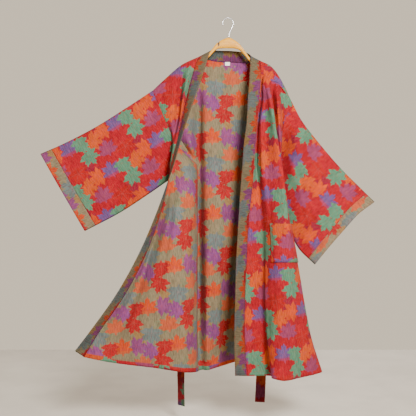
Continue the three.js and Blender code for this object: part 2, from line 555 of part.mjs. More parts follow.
halveShoulder(sheets.left_front);
halveShoulder(sheets.right_front);
const REVERSE_OUT = ['left_neckband', 'right_neckband', 'left_cuff', 'right_cuff'];
for (const [name, sheet] of Object.entries(sheets)) {
  const pulled = { ...sheet, grid: pulledGrid(sheet) };
  const finish = REVERSE_OUT.includes(name) ? FINISH.reverse : FINISH.outside;
  addPiece(name, wallGeometry(pulled, WALL / 2, -WALL / 2), finish);
}

// A patch pocket is a stretch of its front's own points, moved out.
function pocketGeometry(sheet, rows, columns) {
  const cut = (lines) => lines
    .slice(GRID_ROWS.indexOf(rows[0]), GRID_ROWS.indexOf(rows[1]) + 1)
    .map((line) => line.slice(2 * columns[0], 2 * columns[1] + 1));
  const patch = { grid: cut(sheet.grid), normals: cut(sheet.normals), flip: sheet.flip };
  const base = WALL / 2 + SEAM_GAP;
  return wallGeometry(patch, base + WALL, base);
}
addPiece('right_pocket', pocketGeometry(sheets.right_front, [8, 9], [2.5, 6]), FINISH.outside);
addPiece('left_pocket', pocketGeometry(sheets.left_front, [8, 9], [3, 5.5]), FINISH.outside);

// The belt: a flat strip along its run.
function beltGeometry() {
  const middle = lineThrough(BELT_RUN.map((row) => seen(row.at)));
  const grid = [];
  const normals = [];
  for (let t = 0; t <= BELT_RUN.length - 1; t += 0.5) {
    const low = BELT_RUN[Math.floor(t)];
    const high = BELT_RUN[Math.ceil(t)];
    const turn = THREE.MathUtils.degToRad((low.turn + high.turn) / 2);
    const yaw = THREE.MathUtils.degToRad((low.yaw + high.yaw) / 2);
    const ahead = middle(t + 0.1).sub(middle(t - 0.1)).normalize();
    const width = new THREE.Vector3(Math.cos(turn) * Math.cos(yaw), -Math.cos(turn) * Math.sin(yaw), -Math.sin(turn));
    width.addScaledVector(ahead, -width.dot(ahead)).normalize();
    const normal = width.clone().cross(ahead);
    const here = middle(t);
    grid.push([-0.5, 0.5].map((side) => here.clone().addScaledVector(width, side * BELT.width)));
    normals.push([normal, normal]);
  }
  return wallGeometry({ grid, normals, flip: false }, BELT.thickness / 2, -BELT.thickness / 2);
}
addPiece('belt', beltGeometry(), FINISH.outside);

// The two loops that the belt runs through: each a strip that stands off the side seam at one row
// and returns to it at another. The foot is how far its ends lie right of and behind the seam.
const LOOPS = {
  left_belt_loop: { seam: seams.leftSide, rows: [7, 7.5], foot: [-3.7, 2], out: [-0.22, 1] },
  right_belt_loop: { seam: seams.rightSide, rows: [6.5, 7.5], foot: [2.8, 2.8], out: [0.35, 1] },
};
function loopGeometry({ seam, rows, foot, out }) {
  const way = new THREE.Vector3(...out, 0).normalize();
  const [top, bottom] = rows.map((row) => seam(row - UNDERARM).add(new THREE.Vector3(...foot, 0)));
  const width = way.clone().cross(top.clone().sub(bottom)).normalize();
  const shape = [[0, 0], [4, 0], [LOOP.reach, 0.08], [LOOP.reach + 1, 0.5], [LOOP.reach, 0.92],
    [4, 1], [0, 1]];
  const grid = shape.map(([reach, fall]) => {
    const middle = top.clone().lerp(bottom, fall).addScaledVector(way, reach);
    return [-0.5, 0.5].map((side) => middle.clone().addScaledVector(width, side * LOOP.width));
  });
  const normals = grid.map((line, index) => {
    const along = slope((grid[index - 1] || line)[0], line[0], (grid[index + 1] || line)[0]).normalize();
    const normal = width.clone().cross(along);
    return [normal, normal];
  });
  return wallGeometry({ grid, normals, flip: false }, LOOP.thickness / 2, -LOOP.thickness / 2);
}
for (const [name, loop] of Object.entries(LOOPS)) addPiece(name, loopGeometry(loop), FINISH.outside);

// The label at the back of the neck, a small plain tab in front of the cloth.
const label = new THREE.BoxGeometry(LABEL.width, LABEL.thickness, LABEL.height);
label.translate(...seen([227.5, 63.9, 44 - WALL / 2 - LABEL.stand]).toArray());
addPiece('label', label, FINISH.label);

// The hanger's wood: one smooth body with a rounded section at each station.
function roundedPower(value) {
  return Math.sign(value) * Math.abs(value) ** WOOD_SQUARENESS;
}
function woodGeometry() {
  const rings = WOOD.map((station) => {
    const top = seen([station.across, station.top, 0]);
    const bottom = seen([station.across, station.bottom, 0]);
    const middle = top.clone().add(bottom).multiplyScalar(0.5);
    const half = top.distanceTo(bottom) / 2;
    return Array.from({ length: WOOD_SIDES }, (unused, side) => {
      const angle = 2 * Math.PI * side / WOOD_SIDES;
      return middle.clone().add(new THREE.Vector3(
        0, roundedPower(Math.cos(angle)) * station.depth / 2, roundedPower(Math.sin(angle)) * half));
    });
  });
  return tubeGeometry(rings);
}

// A closed tube through rings of points, each end closed by a fan round its middle.
function tubeGeometry(rings) {
  const sides = rings[0].length;
  const positions = rings.flat().flatMap((point) => point.toArray());
  const faces = [];
  for (let ring = 0; ring < rings.length - 1; ring += 1) {
    for (let side = 0; side < sides; side += 1) {
      const next = (side + 1) % sides;
      const [a, b] = [ring * sides + side, ring * sides + next];
      faces.push(a, b, a + sides, b, b + sides, a + sides);
    }
  }
  for (const [ring, turned] of [[0, true], [rings.length - 1, false]]) {
    const middle = rings[ring].reduce((sum, point) => sum.add(point), new THREE.Vector3());
    positions.push(...middle.multiplyScalar(1 / sides).toArray());
    const centre = positions.length / 3 - 1;
    for (let side = 0; side < sides; side += 1) {
      const [a, b] = [ring * sides + side, ring * sides + (side + 1) % sides];
      faces.push(...(turned ? [a, centre, b] : [a, b, centre]));
    }
  }
  const geometry = new THREE.BufferGeometry();
  geometry.setAttribute('position', new THREE.Float32BufferAttribute(positions, 3));
  geometry.setIndex(faces);
  return geometry;
}
addPiece('hanger_wood', woodGeometry(), FINISH.wood);

// The hook: a wire that stands on the wood, bends to the right and closes over to the left.
function hookGeometry() {
  const points = HOOK_FOOT.map(seen);
  const centre = new THREE.Vector3(0, 0, HOOK.wire / 2 - HOOK.radius);
  for (let degrees = HOOK.from; degrees <= HOOK.to; degrees += HOOK.step) {
    const angle = THREE.MathUtils.degToRad(degrees);
    points.push(centre.clone().add(
      new THREE.Vector3(Math.cos(angle), 0, Math.sin(angle)).multiplyScalar(HOOK.radius)));
  }
  const line = evenLineThrough(points);
  const rings = [];
  for (let step = 0; step <= HOOK.steps; step += 1) {
    const share = step / HOOK.steps;
    const ahead = line(share + 0.01).sub(line(share - 0.01)).normalize();
    const side = new THREE.Vector3(0, 1, 0);
    const up = ahead.clone().cross(side);
    rings.push(Array.from({ length: HOOK.sides }, (unused, index) => {
      const angle = 2 * Math.PI * index / HOOK.sides;
      return line(share).addScaledVector(side, Math.cos(angle) * HOOK.wire / 2)
        .addScaledVector(up, Math.sin(angle) * HOOK.wire / 2);
    }));
  }
  return tubeGeometry(rings);
}
addPiece('hook', hookGeometry(), FINISH.wire);

export default robe;
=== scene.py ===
# %% [markdown]
# # A kimono bathrobe on its hanger
# The robe hangs open from a small wooden hanger. The CAD frame already holds every piece at its
# real size, as stiff walls two millimetres thick. Here each piece of cloth gets a finer surface on
# the same form, the woven leaf pattern, its stitches and its creases. One metre is one Blender unit.

# %% Load the frame
import math

import bpy
import numpy as np
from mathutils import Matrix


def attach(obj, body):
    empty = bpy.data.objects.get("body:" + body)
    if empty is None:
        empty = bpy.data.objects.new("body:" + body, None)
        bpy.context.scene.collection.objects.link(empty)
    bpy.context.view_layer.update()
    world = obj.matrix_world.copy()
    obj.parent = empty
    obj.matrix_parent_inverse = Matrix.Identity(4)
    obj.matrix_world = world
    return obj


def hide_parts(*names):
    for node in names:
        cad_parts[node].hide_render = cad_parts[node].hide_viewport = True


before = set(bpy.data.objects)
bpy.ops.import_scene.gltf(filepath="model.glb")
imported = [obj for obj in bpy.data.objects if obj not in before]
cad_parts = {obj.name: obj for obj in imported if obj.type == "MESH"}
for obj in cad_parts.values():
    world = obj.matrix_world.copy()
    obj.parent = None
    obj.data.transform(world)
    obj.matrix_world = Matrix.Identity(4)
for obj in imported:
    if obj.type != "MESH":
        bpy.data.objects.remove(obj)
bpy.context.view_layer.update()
print("nodes in the frame:", len(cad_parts))

# %% [markdown]
# ## Where the photograph sees a point
# The fold lines of the robe were placed in a photograph of 416 by 416 pixels. A place there
# and a depth behind the hook give one point of the robe, because the camera's place is known. Each
# table below therefore holds the pixel across, the pixel down and the depth in millimetres.

# %% The eye and the picture
MM = 0.001
PIXEL = 3.7  # millimetres that a pixel covers at the depth of the hook
PICTURE = 416
CENTRE = PICTURE / 2
HOOK_SEEN = (228, 18.5)
EYE_DISTANCE = 2600
EYE_X = (CENTRE - HOOK_SEEN[0]) * PIXEL
EYE_Z = (HOOK_SEEN[1] - CENTRE) * PIXEL


def seen(place):
    across, down, depth = place
    scale = PIXEL * (EYE_DISTANCE + depth) / EYE_DISTANCE
    return np.array([EYE_X + (across - CENTRE) * scale, depth, EYE_Z - (down - CENTRE) * scale])


def on_picture(points):
    scale = PIXEL * (EYE_DISTANCE + points[..., 1]) / EYE_DISTANCE
    across = CENTRE + (points[..., 0] - EYE_X) / scale
    down = CENTRE - (points[..., 2] - EYE_Z) / scale
    return np.stack([across, down], axis=-1)


print("the hook's top seen at:", on_picture(np.zeros(3)).round(1))


# %% [markdown]
# ## The camera, the light and the floor
# The photograph was taken straight on, from about chest height, with soft daylight that comes from
# the right and a little from above. A large area light gives that, and the pale surroundings fill
# the shadows. The robe hangs clear of a plain pale floor.

# %% Camera
SENSOR = 36
camera_data = bpy.data.cameras.new("camera")
camera_data.sensor_width = SENSOR
camera_data.lens = SENSOR * EYE_DISTANCE / (PICTURE * PIXEL)
camera_data.clip_start = 0.05
camera = bpy.data.objects.new("camera", camera_data)
camera.location = (EYE_X * MM, -EYE_DISTANCE * MM, EYE_Z * MM)
camera.rotation_euler = (math.radians(90), 0, 0)
bpy.context.collection.objects.link(camera)
bpy.context.scene.camera = camera
print("lens in millimetres:", round(camera_data.lens, 1))


# %% Light
def area_light(name, place, target, size, watts, colour):
    data = bpy.data.lights.new(name, "AREA")
    data.shape = "DISK"
    data.size = size
    data.energy = watts
    data.color = colour
    light = bpy.data.objects.new(name, data)
    light.location = place
    way = np.array(target) - np.array(place)
    light.rotation_euler = (
        math.acos(-way[2] / np.linalg.norm(way)), 0, math.atan2(way[1], way[0]) - math.pi / 2)
    bpy.context.collection.objects.link(light)


ROBE_MIDDLE = (-0.07, 0, -0.75)
ROOM_COLOUR = (0.83, 0.71, 0.55, 1)
ROOM_IN_FRONT, ROOM_BEHIND = 0.42, 1.05  # how bright the room is on the two sides of the robe
ROOM_TURN = 0.3  # how far from sideways it changes from one to the other
area_light("key light", (0.85, -2.9, 0.7), ROBE_MIDDLE, 1.0, 262, (1, 0.98, 0.95))
area_light("fill light", (-2.6, -2.4, 0.2), ROBE_MIDDLE, 2.6, 10, (0.93, 0.96, 1))
area_light("back light", (0.6, 3.0, 0.9), ROBE_MIDDLE, 2.4, 90, (1, 0.99, 0.97))
world = bpy.data.worlds.new("pale room")
world.use_nodes = True
room = world.node_tree
way = room.nodes.new("ShaderNodeSeparateXYZ")
room.links.new(room.nodes.new("ShaderNodeTexCoord").outputs["Generated"], way.inputs[0])
dim = room.nodes.new("ShaderNodeMapRange")
room.links.new(way.outputs["Y"], dim.inputs["Value"])
for label, value in (("From Min", -ROOM_TURN), ("From Max", ROOM_TURN), ("To Min", ROOM_IN_FRONT),
                     ("To Max", ROOM_BEHIND)):
    dim.inputs[label].default_value = value
room.links.new(dim.outputs[0], room.nodes["Background"].inputs["Strength"])
room.nodes["Background"].inputs["Color"].default_value = ROOM_COLOUR
bpy.context.scene.world = world
print("lights:", ", ".join(light.name for light in bpy.data.lights))

# %% [markdown]
# ## Lines through points
# A fold line should pass through its points without wobbling between them. The centripetal
# Catmull-Rom curve does that, and it is also what the CAD source uses, so the fine surface here
# follows the stiff wall exactly.


# %% Curves
def line_through(points):
    points = np.asarray(points, float)
    ends = np.concatenate([[2 * points[0] - points[1]], points, [2 * points[-1] - points[-2]]])
    last = len(points) - 1

    def at(places):
        places = np.clip(np.atleast_1d(np.asarray(places, float)), 0, last)
        start = np.minimum(places.astype(int), last - 1)
        t = (places - start)[:, None]
        before, here, there, after = (ends[start + step] for step in range(4))

        def root(a, b):
            return np.sqrt(np.linalg.norm(b - a, axis=1))[:, None] + 1e-9

        d0, d1, d2 = root(before, here), root(here, there), root(there, after)
        leave = ((here - before) / d0 - (there - before) / (d0 + d1) + (there - here) / d1) * d1
        reach = ((there - here) / d1 - (after - here) / (d1 + d2) + (after - there) / d2) * d1
        return ((2 * t**3 - 3 * t**2 + 1) * here + (t**3 - 2 * t**2 + t) * leave
                + (3 * t**2 - 2 * t**3) * there + (t**3 - t**2) * reach)

    return at


def even_line_through(points):
    line = line_through(points)
    places = np.linspace(0, len(points) - 1, 400)
    run = along(line(places))
    return lambda share: line(np.interp(np.clip(share, 0, 1) * run[-1], run, places))


def along(points):
    steps = np.linalg.norm(np.diff(points, axis=0), axis=1)
    return np.concatenate([[0], np.cumsum(steps)])


print("halfway to the top of a bent line:", line_through([[0, 0, 0], [2, 2, 0], [4, 0, 0]])(0.5).round(2))


# %% [markdown]
# ## The tables of the robe
# Rows run from the shoulder, row 0, to the hem, row 12. Row 1 is where the cloth comes off the
# hanger and row 6 is the underarm. These are the same tables as in the CAD source: the neckband,
# the outer edges, and the fold lines inside each panel. Left and right are the viewer's.

# %% Edges and neckband
WALL = 2
BAND_WIDTH = 43
CUFF_WIDTH = 44
OVER_HANGER = 12
OVER_EDGE = 6
UNDERARM = 6
HEM = 12
LEFT_BAND = [
    ([210, 51, -3], [199, 56.8, 0]), ([208.3, 57.1, -19], [197.6, 60.2, -13]),
    ([202.6, 76, -36], [192.3, 76, -19]), ([195.1, 97, -57], [186.7, 97, -28]),
    ([186.6, 122, -76], [181.1, 122, -38]), ([179.3, 146, -99], [175.6, 146, -58]),
    ([174.6, 163, -107], [171.4, 163, -66]), ([167.3, 183, -113], [168, 183, -70]),
    ([155.2, 216, -122], [159.5, 216.5, -83]), ([138.2, 255, -127], [144.5, 257, -92]),
    ([116.5, 294, -130], [123.6, 297, -96]), ([91, 330, -126], [98.5, 334, -92]),
    ([74.9, 351, -116], [84, 357, -98])]
RIGHT_BAND = [
    ([250.3, 55.8, -4], [261, 61.3, 0]), ([250.3, 60, -17], [261.6, 65, -13]),
    ([249.4, 78, -34], [260.9, 78, -28]), ([247.9, 98, -48], [259.5, 98, -40]),
    ([246.7, 121.5, -66], [257, 121.5, -48]), ([243.6, 146, -58], [255.4, 146, -52]),
    ([242.3, 165, -56], [253.9, 165, -52]), ([240.3, 190, -50], [251.6, 190, -46]),
    ([238.3, 223.5, -56], [247.7, 223.5, -38]), ([236.1, 262.4, -52], [246.5, 262.4, -34]),
    ([235.2, 298, -54], [244.8, 298, -32]), ([234.3, 334, -50], [244.2, 334, -33]),
    ([235, 375.8, -42], [246.5, 376, -38])]
NECK_BAND = [
    ([213.2, 50.4, 18], [205, 60.4, 24]), ([219.5, 50.7, 31], [216, 61.8, 39]),
    ([231, 51, 36], [231, 62.1, 44]), ([243, 52.2, 27], [246.5, 62.2, 35]),
    ([248.6, 53.8, 12], [256.5, 61.6, 18])]
LEFT_SHOULDER = [[199, 56.8, 0], [181.7, 65, 0], [166, 78.3, 0], [152.6, 90.8, 0]]
RIGHT_SHOULDER = [[261, 61.3, 0], [270.7, 66.2, 0], [279.9, 78, 0], [287, 92.5, 0], [293, 104.5, 0]]
LEFT_ARM_FRONT = [
    [152.6, 90.8, 0], [153.8, 94, -7], [156, 99, -13], [159.7, 107, -19], [165.8, 121.5, -31],
    [177.5, 145, -8], [196.6, 165, 30]]
LEFT_ARM_BACK = [
    [152.6, 90.8, 0], [153.4, 94.3, 7], [155.5, 99.5, 11], [159.5, 108, 12], [168, 121.5, 10],
    [185, 146, 12], [196.6, 165, 30]]
RIGHT_ARM_FRONT = [
    [293, 104.5, 0], [291, 107.5, -8], [288, 112, -13], [285, 119, -15], [282.6, 131, -8],
    [278, 155, 12], [266, 188, 42]]
RIGHT_ARM_BACK = [
    [293, 104.5, 0], [292, 108.5, 8], [289.5, 115, 14], [286, 124, 18], [282, 138, 25],
    [276, 160, 34], [266, 188, 42]]
LEFT_SIDE = [
    [196.6, 165, 30], [197.6, 183, 36], [197.6, 216, 40], [197.4, 255, 40],
    [197.2, 294, 41], [197, 332, 42], [197.8, 371.4, 42]]
RIGHT_SIDE = [
    [266, 188, 42], [270, 201, 48], [278, 226, 56], [287, 263, 65],
    [292.5, 298, 71], [298.5, 334, 75], [308, 362.5, 80]]
print("rows down each neckband:", len(LEFT_BAND) - 1, len(RIGHT_BAND) - 1)

# %% Fold lines inside the panels, row 2 to the hem
LEFT_FOLD_NAMES = ("near", "low", "mid", "full", "wall")
LEFT_FRONT = [
    ([187.5, 76, -33], [182.4, 76.5, -13], [176.5, 79.5, -26], [169, 84.5, -20], [161, 91, -14]),
    ([183.2, 97.5, -46], [179.8, 98.5, -18], [174.5, 99.5, -34], [168.5, 100.5, -32], [163, 102.5, -24]),
    ([179.8, 122, -52], [177.2, 122, -28], [173.5, 121.5, -40], [170.5, 121, -42], [168, 120.5, -38]),
    ([173.8, 146, -56], [172.6, 146, -44], [172.8, 145.5, -32], [174, 145.3, -22], [175.6, 145, -14]),
    ([170.2, 163, -54], [171.5, 163, -42], [176, 163, -38], [183.5, 163.5, -36], [191.5, 164, -14]),
    ([169.2, 183, -57], [173.5, 183, -56], [180, 183, -60], [189, 183, -54], [195.7, 183, -16]),
    ([161.6, 216.5, -67], [169.5, 216, -96], [177.5, 216, -104], [189.5, 216, -88], [196, 216, -30]),
    ([150, 256, -70], [159, 255, -97], [171, 255, -108], [188.3, 255, -90], [195.7, 255, -30]),
    ([135.5, 295, -64], [146.5, 294, -90], [165, 294, -102], [187, 294, -82], [195.4, 294, -28]),
    ([117, 333.5, -64], [131, 333, -82], [158, 332, -86], [185.5, 332, -64], [195.1, 332, -20]),
    ([104, 361.2, -70], [126, 364.5, -66], [156, 368, -62], [184, 372.3, -44], [194.5, 372.2, -8])]
RIGHT_FOLD_NAMES = ("dip", "rib", "lap", "ridge", "gap", "rear", "hollow")
RIGHT_FRONT = [
    ([262.2, 78, -18], [263.6, 78, -30], [265.2, 78.5, -38], [268, 79, -44], [271.3, 80.5, -16],
     [276.8, 83, -32], [281.6, 91, -12]),
    ([261.6, 98, -24], [263, 98, -42], [265.6, 98, -50], [270.3, 98.5, -66], [272.6, 99, -18],
     [278, 100, -44], [281.6, 104, -10]),
    ([258.4, 122, -28], [261, 122, -56], [264.8, 122, -48], [274.2, 122.5, -80], [274.8, 123, -22],
     [279.2, 124, -40], [282.4, 127, -8]),
    ([256.9, 147, -30], [261, 147, -60], [266, 147, -54], [278.6, 147.5, -84], [278, 148.5, -24],
     [280.5, 150, -30], [281, 152, -2]),
    ([256.4, 166, -30], [261.5, 166, -60], [266.5, 166.5, -60], [281.8, 168, -86], [281.8, 170, -40],
     [280, 173, -4], [275, 179, 22]),
    ([258.6, 190, -30], [263.5, 190, -54], [269.5, 190.5, -66], [284.6, 191.5, -88], [285.3, 192.5, -52],
     [282.5, 195, -6], [277, 198, 28]),
    ([261.4, 223.5, -28], [266.5, 223.5, -50], [274, 223.5, -76], [287.5, 223.8, -88], [289.9, 224, -52],
     [288.3, 224.5, -8], [284.5, 225, 34]),
    ([262.2, 262.4, -24], [267.5, 262.4, -53], [276, 262.4, -84], [292, 262.4, -84], [296.8, 262.5, -44],
     [296.7, 262.8, -10], [293, 263, 42]),
    ([261.5, 298, -24], [267, 298, -57], [277.7, 298, -92], [295, 298, -76], [303, 298, -32],
     [303.3, 298, 4], [300, 298, 48]),
    ([263, 334, -28], [268.3, 334, -66], [279.8, 334, -99], [298.3, 334, -64], [309.8, 334, -18],
     [310.3, 334, 18], [307, 334, 54]),
    ([271, 375.9, -37], [272.6, 378.6, -96], [284, 381, -114], [300, 377.8, -66], [318, 373.6, -8],
     [322, 371.5, 22], [317.5, 366.5, 58])]
BACK_FOLD_NAMES = ("strip", "crease", "brow", "left", "centre", "right", "edge", "turn")
BACK = [
    ([186, 80, 8], [199.3, 77, 22], [206, 77, 32], [217, 77, 42], [232, 77, 45], [247, 77, 38],
     [262, 78, 16], [277, 86, 8]),
    ([187, 100, 2], [198.6, 98, 42], [206, 98, 24], [217, 98, 36], [232, 98, 42], [247, 98, 40],
     [262, 98, 26], [276, 103, 18]),
    ([187.5, 122, 0], [198.4, 122, 48], [205.8, 122, 20], [217, 122, 32], [232, 122, 42],
     [247, 122, 44], [262, 123, 36], [273, 126, 30]),
    ([191, 147, 0], [198.3, 146, 50], [205.6, 146, 18], [217, 146, 28], [232, 146, 40],
     [247, 146, 48], [261, 147, 46], [269.5, 150, 42]),
    ([198, 165, 46], [200.2, 165, 48], [206, 165, 20], [217, 165, 27], [231.5, 165, 39],
     [247, 165, 51], [258, 168, 54], [263.5, 176, 51]),
    ([198.4, 183, 52], [200.8, 183, 48], [206.3, 183, 20], [217, 183, 25], [231, 184, 38],
     [247, 186, 55], [260, 192, 64], [266.5, 197, 61]),
    ([198.4, 216, 56], [201, 216, 48], [206.5, 216, 18], [216, 217, 15], [229, 218, 35],
     [246, 220, 64], [262, 223, 79], [273, 225, 76]),
    ([198.2, 255, 58], [201, 255, 50], [206.7, 255, 16], [215, 256, 13], [226.5, 257, 42],
     [243, 259, 78], [263, 261, 96], [280, 262, 90]),
    ([198, 294, 60], [201, 294, 54], [207, 294, 21], [214, 295, 24], [223.5, 295.5, 60],
     [240, 296, 99], [263, 297, 116], [284, 298, 104]),
    ([197.9, 332, 62], [201, 332, 58], [207, 332, 33], [213.5, 332.5, 41], [222, 333, 84],
     [238, 333, 122], [263, 334, 138], [288, 334, 118]),
    ([198.6, 370.6, 58], [201.5, 369.7, 64], [207.4, 370, 54], [216, 367.5, 92], [225.5, 364.6, 130],
     [237, 361.3, 152], [263, 358.5, 166], [290, 359.5, 140])]
print("fold lines:", len(LEFT_FOLD_NAMES) + len(RIGHT_FOLD_NAMES) + len(BACK_FOLD_NAMES))

# %% Sleeves
LEFT_SLEEVE = dict(
    top=[[152.6, 90.8, 0], [127.3, 107.4, 0], [95.5, 127.3, 0], [65, 143.2, 0], [40.5, 154, 0]],
    bottom=[[196.6, 165, 30], [182, 172.8, 22], [168, 180.7, 14], [150, 193, 8], [120, 212.5, 2],
            [84.7, 231, 0]],
    mouth=[[40.5, 154, 0], [55, 179, 0], [70, 205, 0], [84.7, 231, 0]], swell=12, root=0)
RIGHT_SLEEVE = dict(
    top=[[293, 104.5, 0], [300.8, 119.4, 2], [316.8, 140.6, 4], [340.6, 168.4, 5], [358, 185.8, 5],
         [374.5, 202, 4]],
    bottom=[[266, 188, 42], [276, 197.5, 48], [284.5, 212, 32], [291, 233, 12], [299, 248.7, 0],
            [314.9, 264.4, -6]],
    mouth=[[374.5, 202, 4], [358, 214, -2], [343.6, 229.6, -8], [329, 246.5, -10],
           [314.9, 264.4, -6]], swell=15, root=34)
ROOT_FOLD_MIDDLE = 0.2
ROOT_FOLD_SPREAD = 0.12
print("points on a sleeve's mouth:", len(RIGHT_SLEEVE["mouth"]))

# %% [markdown]
# ## The seams
# Two pieces that are sewn together share one line. Working the seams out first, and only then the
# panels between them, is how a pattern cutter thinks, and it keeps the pieces joined everywhere.


# %% Seam lines
def band_seam(free, towards):
    edge = seen(free)
    way = seen(towards) - edge
    return edge + way / np.linalg.norm(way) * BAND_WIDTH


left_seam_points = [band_seam(*row) for row in LEFT_BAND]
right_seam_points = [band_seam(*row) for row in RIGHT_BAND]
neck_seam_points = [band_seam(*row) for row in NECK_BAND]
left_band_seam = line_through(left_seam_points)
right_band_seam = line_through(right_seam_points)
neck_seam = even_line_through([left_seam_points[0], *neck_seam_points, right_seam_points[0]])
left_shoulder = even_line_through([left_seam_points[0], *map(seen, LEFT_SHOULDER[1:])])
right_shoulder = even_line_through([right_seam_points[0], *map(seen, RIGHT_SHOULDER[1:])])
left_arm_front, left_arm_back, right_arm_front, right_arm_back, left_side, right_side = (
    line_through([seen(place) for place in table])
    for table in (LEFT_ARM_FRONT, LEFT_ARM_BACK, RIGHT_ARM_FRONT, RIGHT_ARM_BACK, LEFT_SIDE, RIGHT_SIDE))


def outer_edge(armhole, side):
    def at(rows):
        rows = np.atleast_1d(rows)
        return np.where((rows <= UNDERARM)[:, None], armhole(rows), side(rows - UNDERARM))

    return at


EDGE_FROM, EDGE_RUN = 0.35, 0.55  # the share of a shoulder over which the hanger gets thinner


def off_hanger(shoulder, share, side):
    blend = np.clip((share - EDGE_FROM) / EDGE_RUN, 0, 1)
    stand = OVER_HANGER + (OVER_EDGE - OVER_HANGER) * blend * blend * (3 - 2 * blend)
    return shoulder(share)[0] + np.array([0, side * stand, -stand])


print("left band, shoulder to hem:", round(along(left_band_seam(np.linspace(0, 12, 99)))[-1]), "mm")

# %% [markdown]
# ## Panels as fine grids
# A panel is a quilt of fold lines: a curve runs down each fold, and curves across join them. The
# CAD wall takes a few of those points. Here the same curves are read every few millimetres, which
# gives a smooth surface without any smoothing that would move it off the CAD form. Only one hard
# spot by the right shoulder, where a deep fold runs off the hanger, is rounded off.

# %% Grid maker
ROW_STEP = 1 / 18
FOLD_STEP = 1 / 12
ROWS = np.concatenate([np.linspace(0, 1, 4, endpoint=False), np.arange(1, HEM + ROW_STEP / 2, ROW_STEP)])


def panel_grid(folds, first, last, top, hanger):
    count = len(folds[0]) + 1
    columns = np.arange(0, count + FOLD_STEP / 2, FOLD_STEP)
    lines = [first(ROWS)]
    for index in range(1, count):
        places = [seen(row[index - 1]) for row in folds]
        lines.append(line_through([top(index), hanger(index), *places])(ROWS))
    lines.append(last(ROWS))
    lines = np.array(lines)
    grid = np.array([line_through(lines[:, row])(columns) for row in range(len(ROWS))])
    grid[0] = [top(column) for column in columns]
    return grid, columns


print("lines across each panel:", len(ROWS))

# %% Where the panels start
LEFT_COUNT = len(LEFT_FOLD_NAMES) + 1
RIGHT_COUNT = len(RIGHT_FOLD_NAMES) + 1
BACK_COUNT = len(BACK_FOLD_NAMES) + 1
NECK_START = 2
NECK_END = BACK_COUNT - 2


def back_top(u):
    if u <= NECK_START:
        return left_shoulder(1 - u / NECK_START)[0]
    if u < NECK_END:
        return neck_seam((u - NECK_START) / (NECK_END - NECK_START))[0]
    return right_shoulder((u - NECK_END) / (BACK_COUNT - NECK_END))[0]


def back_off_hanger(u):
    if u <= NECK_START:
        return off_hanger(left_shoulder, 1 - u / NECK_START, 1)
    if u < NECK_END:
        return back_top(u) + np.array([0, 0, -OVER_HANGER])
    return off_hanger(right_shoulder, (u - NECK_END) / (BACK_COUNT - NECK_END), 1)


print("back of the neck, in millimetres:", back_top(BACK_COUNT / 2).round())

# %% Panel grids
left_front_grid, left_columns = panel_grid(
    LEFT_FRONT, left_band_seam, outer_edge(left_arm_front, left_side),
    lambda u: left_shoulder(u / LEFT_COUNT)[0],
    lambda u: off_hanger(left_shoulder, u / LEFT_COUNT, -1))
right_front_grid, right_columns = panel_grid(
    RIGHT_FRONT, right_band_seam, outer_edge(right_arm_front, right_side),
    lambda u: right_shoulder(u / RIGHT_COUNT)[0],
    lambda u: off_hanger(right_shoulder, u / RIGHT_COUNT, -1))


EASE_ROUNDS = 70
EASE_AT, EASE_REACH = (2.0, 4.6), (0.9, 1.9)  # row and fold line of the spot, and how far it goes
EASE_FADE = 1.6


def eased(grid, columns):
    """Rounds off one hard spot of a panel and leaves the rest as it is."""
    smooth = grid.copy()
    for _ in range(EASE_ROUNDS):
        smooth[1:-1, 1:-1] = (smooth[:-2, 1:-1] + smooth[2:, 1:-1]
                              + smooth[1:-1, :-2] + smooth[1:-1, 2:]) / 4
    away = np.maximum(np.abs(ROWS - EASE_AT[0])[:, None] / EASE_REACH[0],
                      np.abs(columns - EASE_AT[1])[None] / EASE_REACH[1])
    share = np.clip(EASE_FADE * (1 - away), 0, 1)[..., None]
    return grid * (1 - share) + smooth * share


right_front_grid = eased(right_front_grid, right_columns)
back_grid, back_columns = panel_grid(
    BACK, outer_edge(left_arm_back, left_side), outer_edge(right_arm_back, right_side),
    back_top, back_off_hanger)
print("points in the back panel:", back_grid.shape[0] * back_grid.shape[1])


# %% Sleeve grids
def sleeve_grid(sleeve, arm_front, arm_back, falls, shares):
    top, bottom, mouth = (even_line_through([seen(place) for place in sleeve[key]])
                          for key in ("top", "bottom", "mouth"))
    share = shares[:, None]
    lines = []
    for fall in falls:
        depth = abs(fall)
        side, arm = (1, arm_back) if fall < 0 else (-1, arm_front)
        between = top(shares) * (1 - depth) + bottom(shares) * depth
        ends = top(np.array([0, 1])) * (1 - depth) + bottom(np.array([0, 1])) * depth
        points = between + (arm(depth * UNDERARM) - ends[0]) * (1 - share) ** 2
        points = points + (mouth(depth) - ends[1]) * share**2
        fold = np.exp(-(((shares - ROOT_FOLD_MIDDLE) / ROOT_FOLD_SPREAD) ** 2))
        root = sleeve["root"] * fold * np.sin(np.pi * np.minimum(shares * 4, 0.5)) * (side < 0)
        swell = sleeve["swell"] * np.sin(np.pi * shares / 2) + root
        points[:, 1] += side * math.sin(math.pi * depth) ** 0.7 * swell
        lines.append(points)
    return np.array(lines).transpose(1, 0, 2)


FALLS = np.linspace(-1, 1, 121)
SLEEVE_STEPS = 84
CUFF_STEPS = 9


def whole_sleeve(sleeve, arm_front, arm_back):
    ends = seen(sleeve["top"][0]), seen(sleeve["top"][-1])
    seam = 1 - CUFF_WIDTH / np.linalg.norm(ends[1] - ends[0])
    body = sleeve_grid(sleeve, arm_front, arm_back, FALLS, np.linspace(0, seam, SLEEVE_STEPS))
    cuff = sleeve_grid(sleeve, arm_front, arm_back, FALLS, np.linspace(seam, 1, CUFF_STEPS))
    return body, cuff


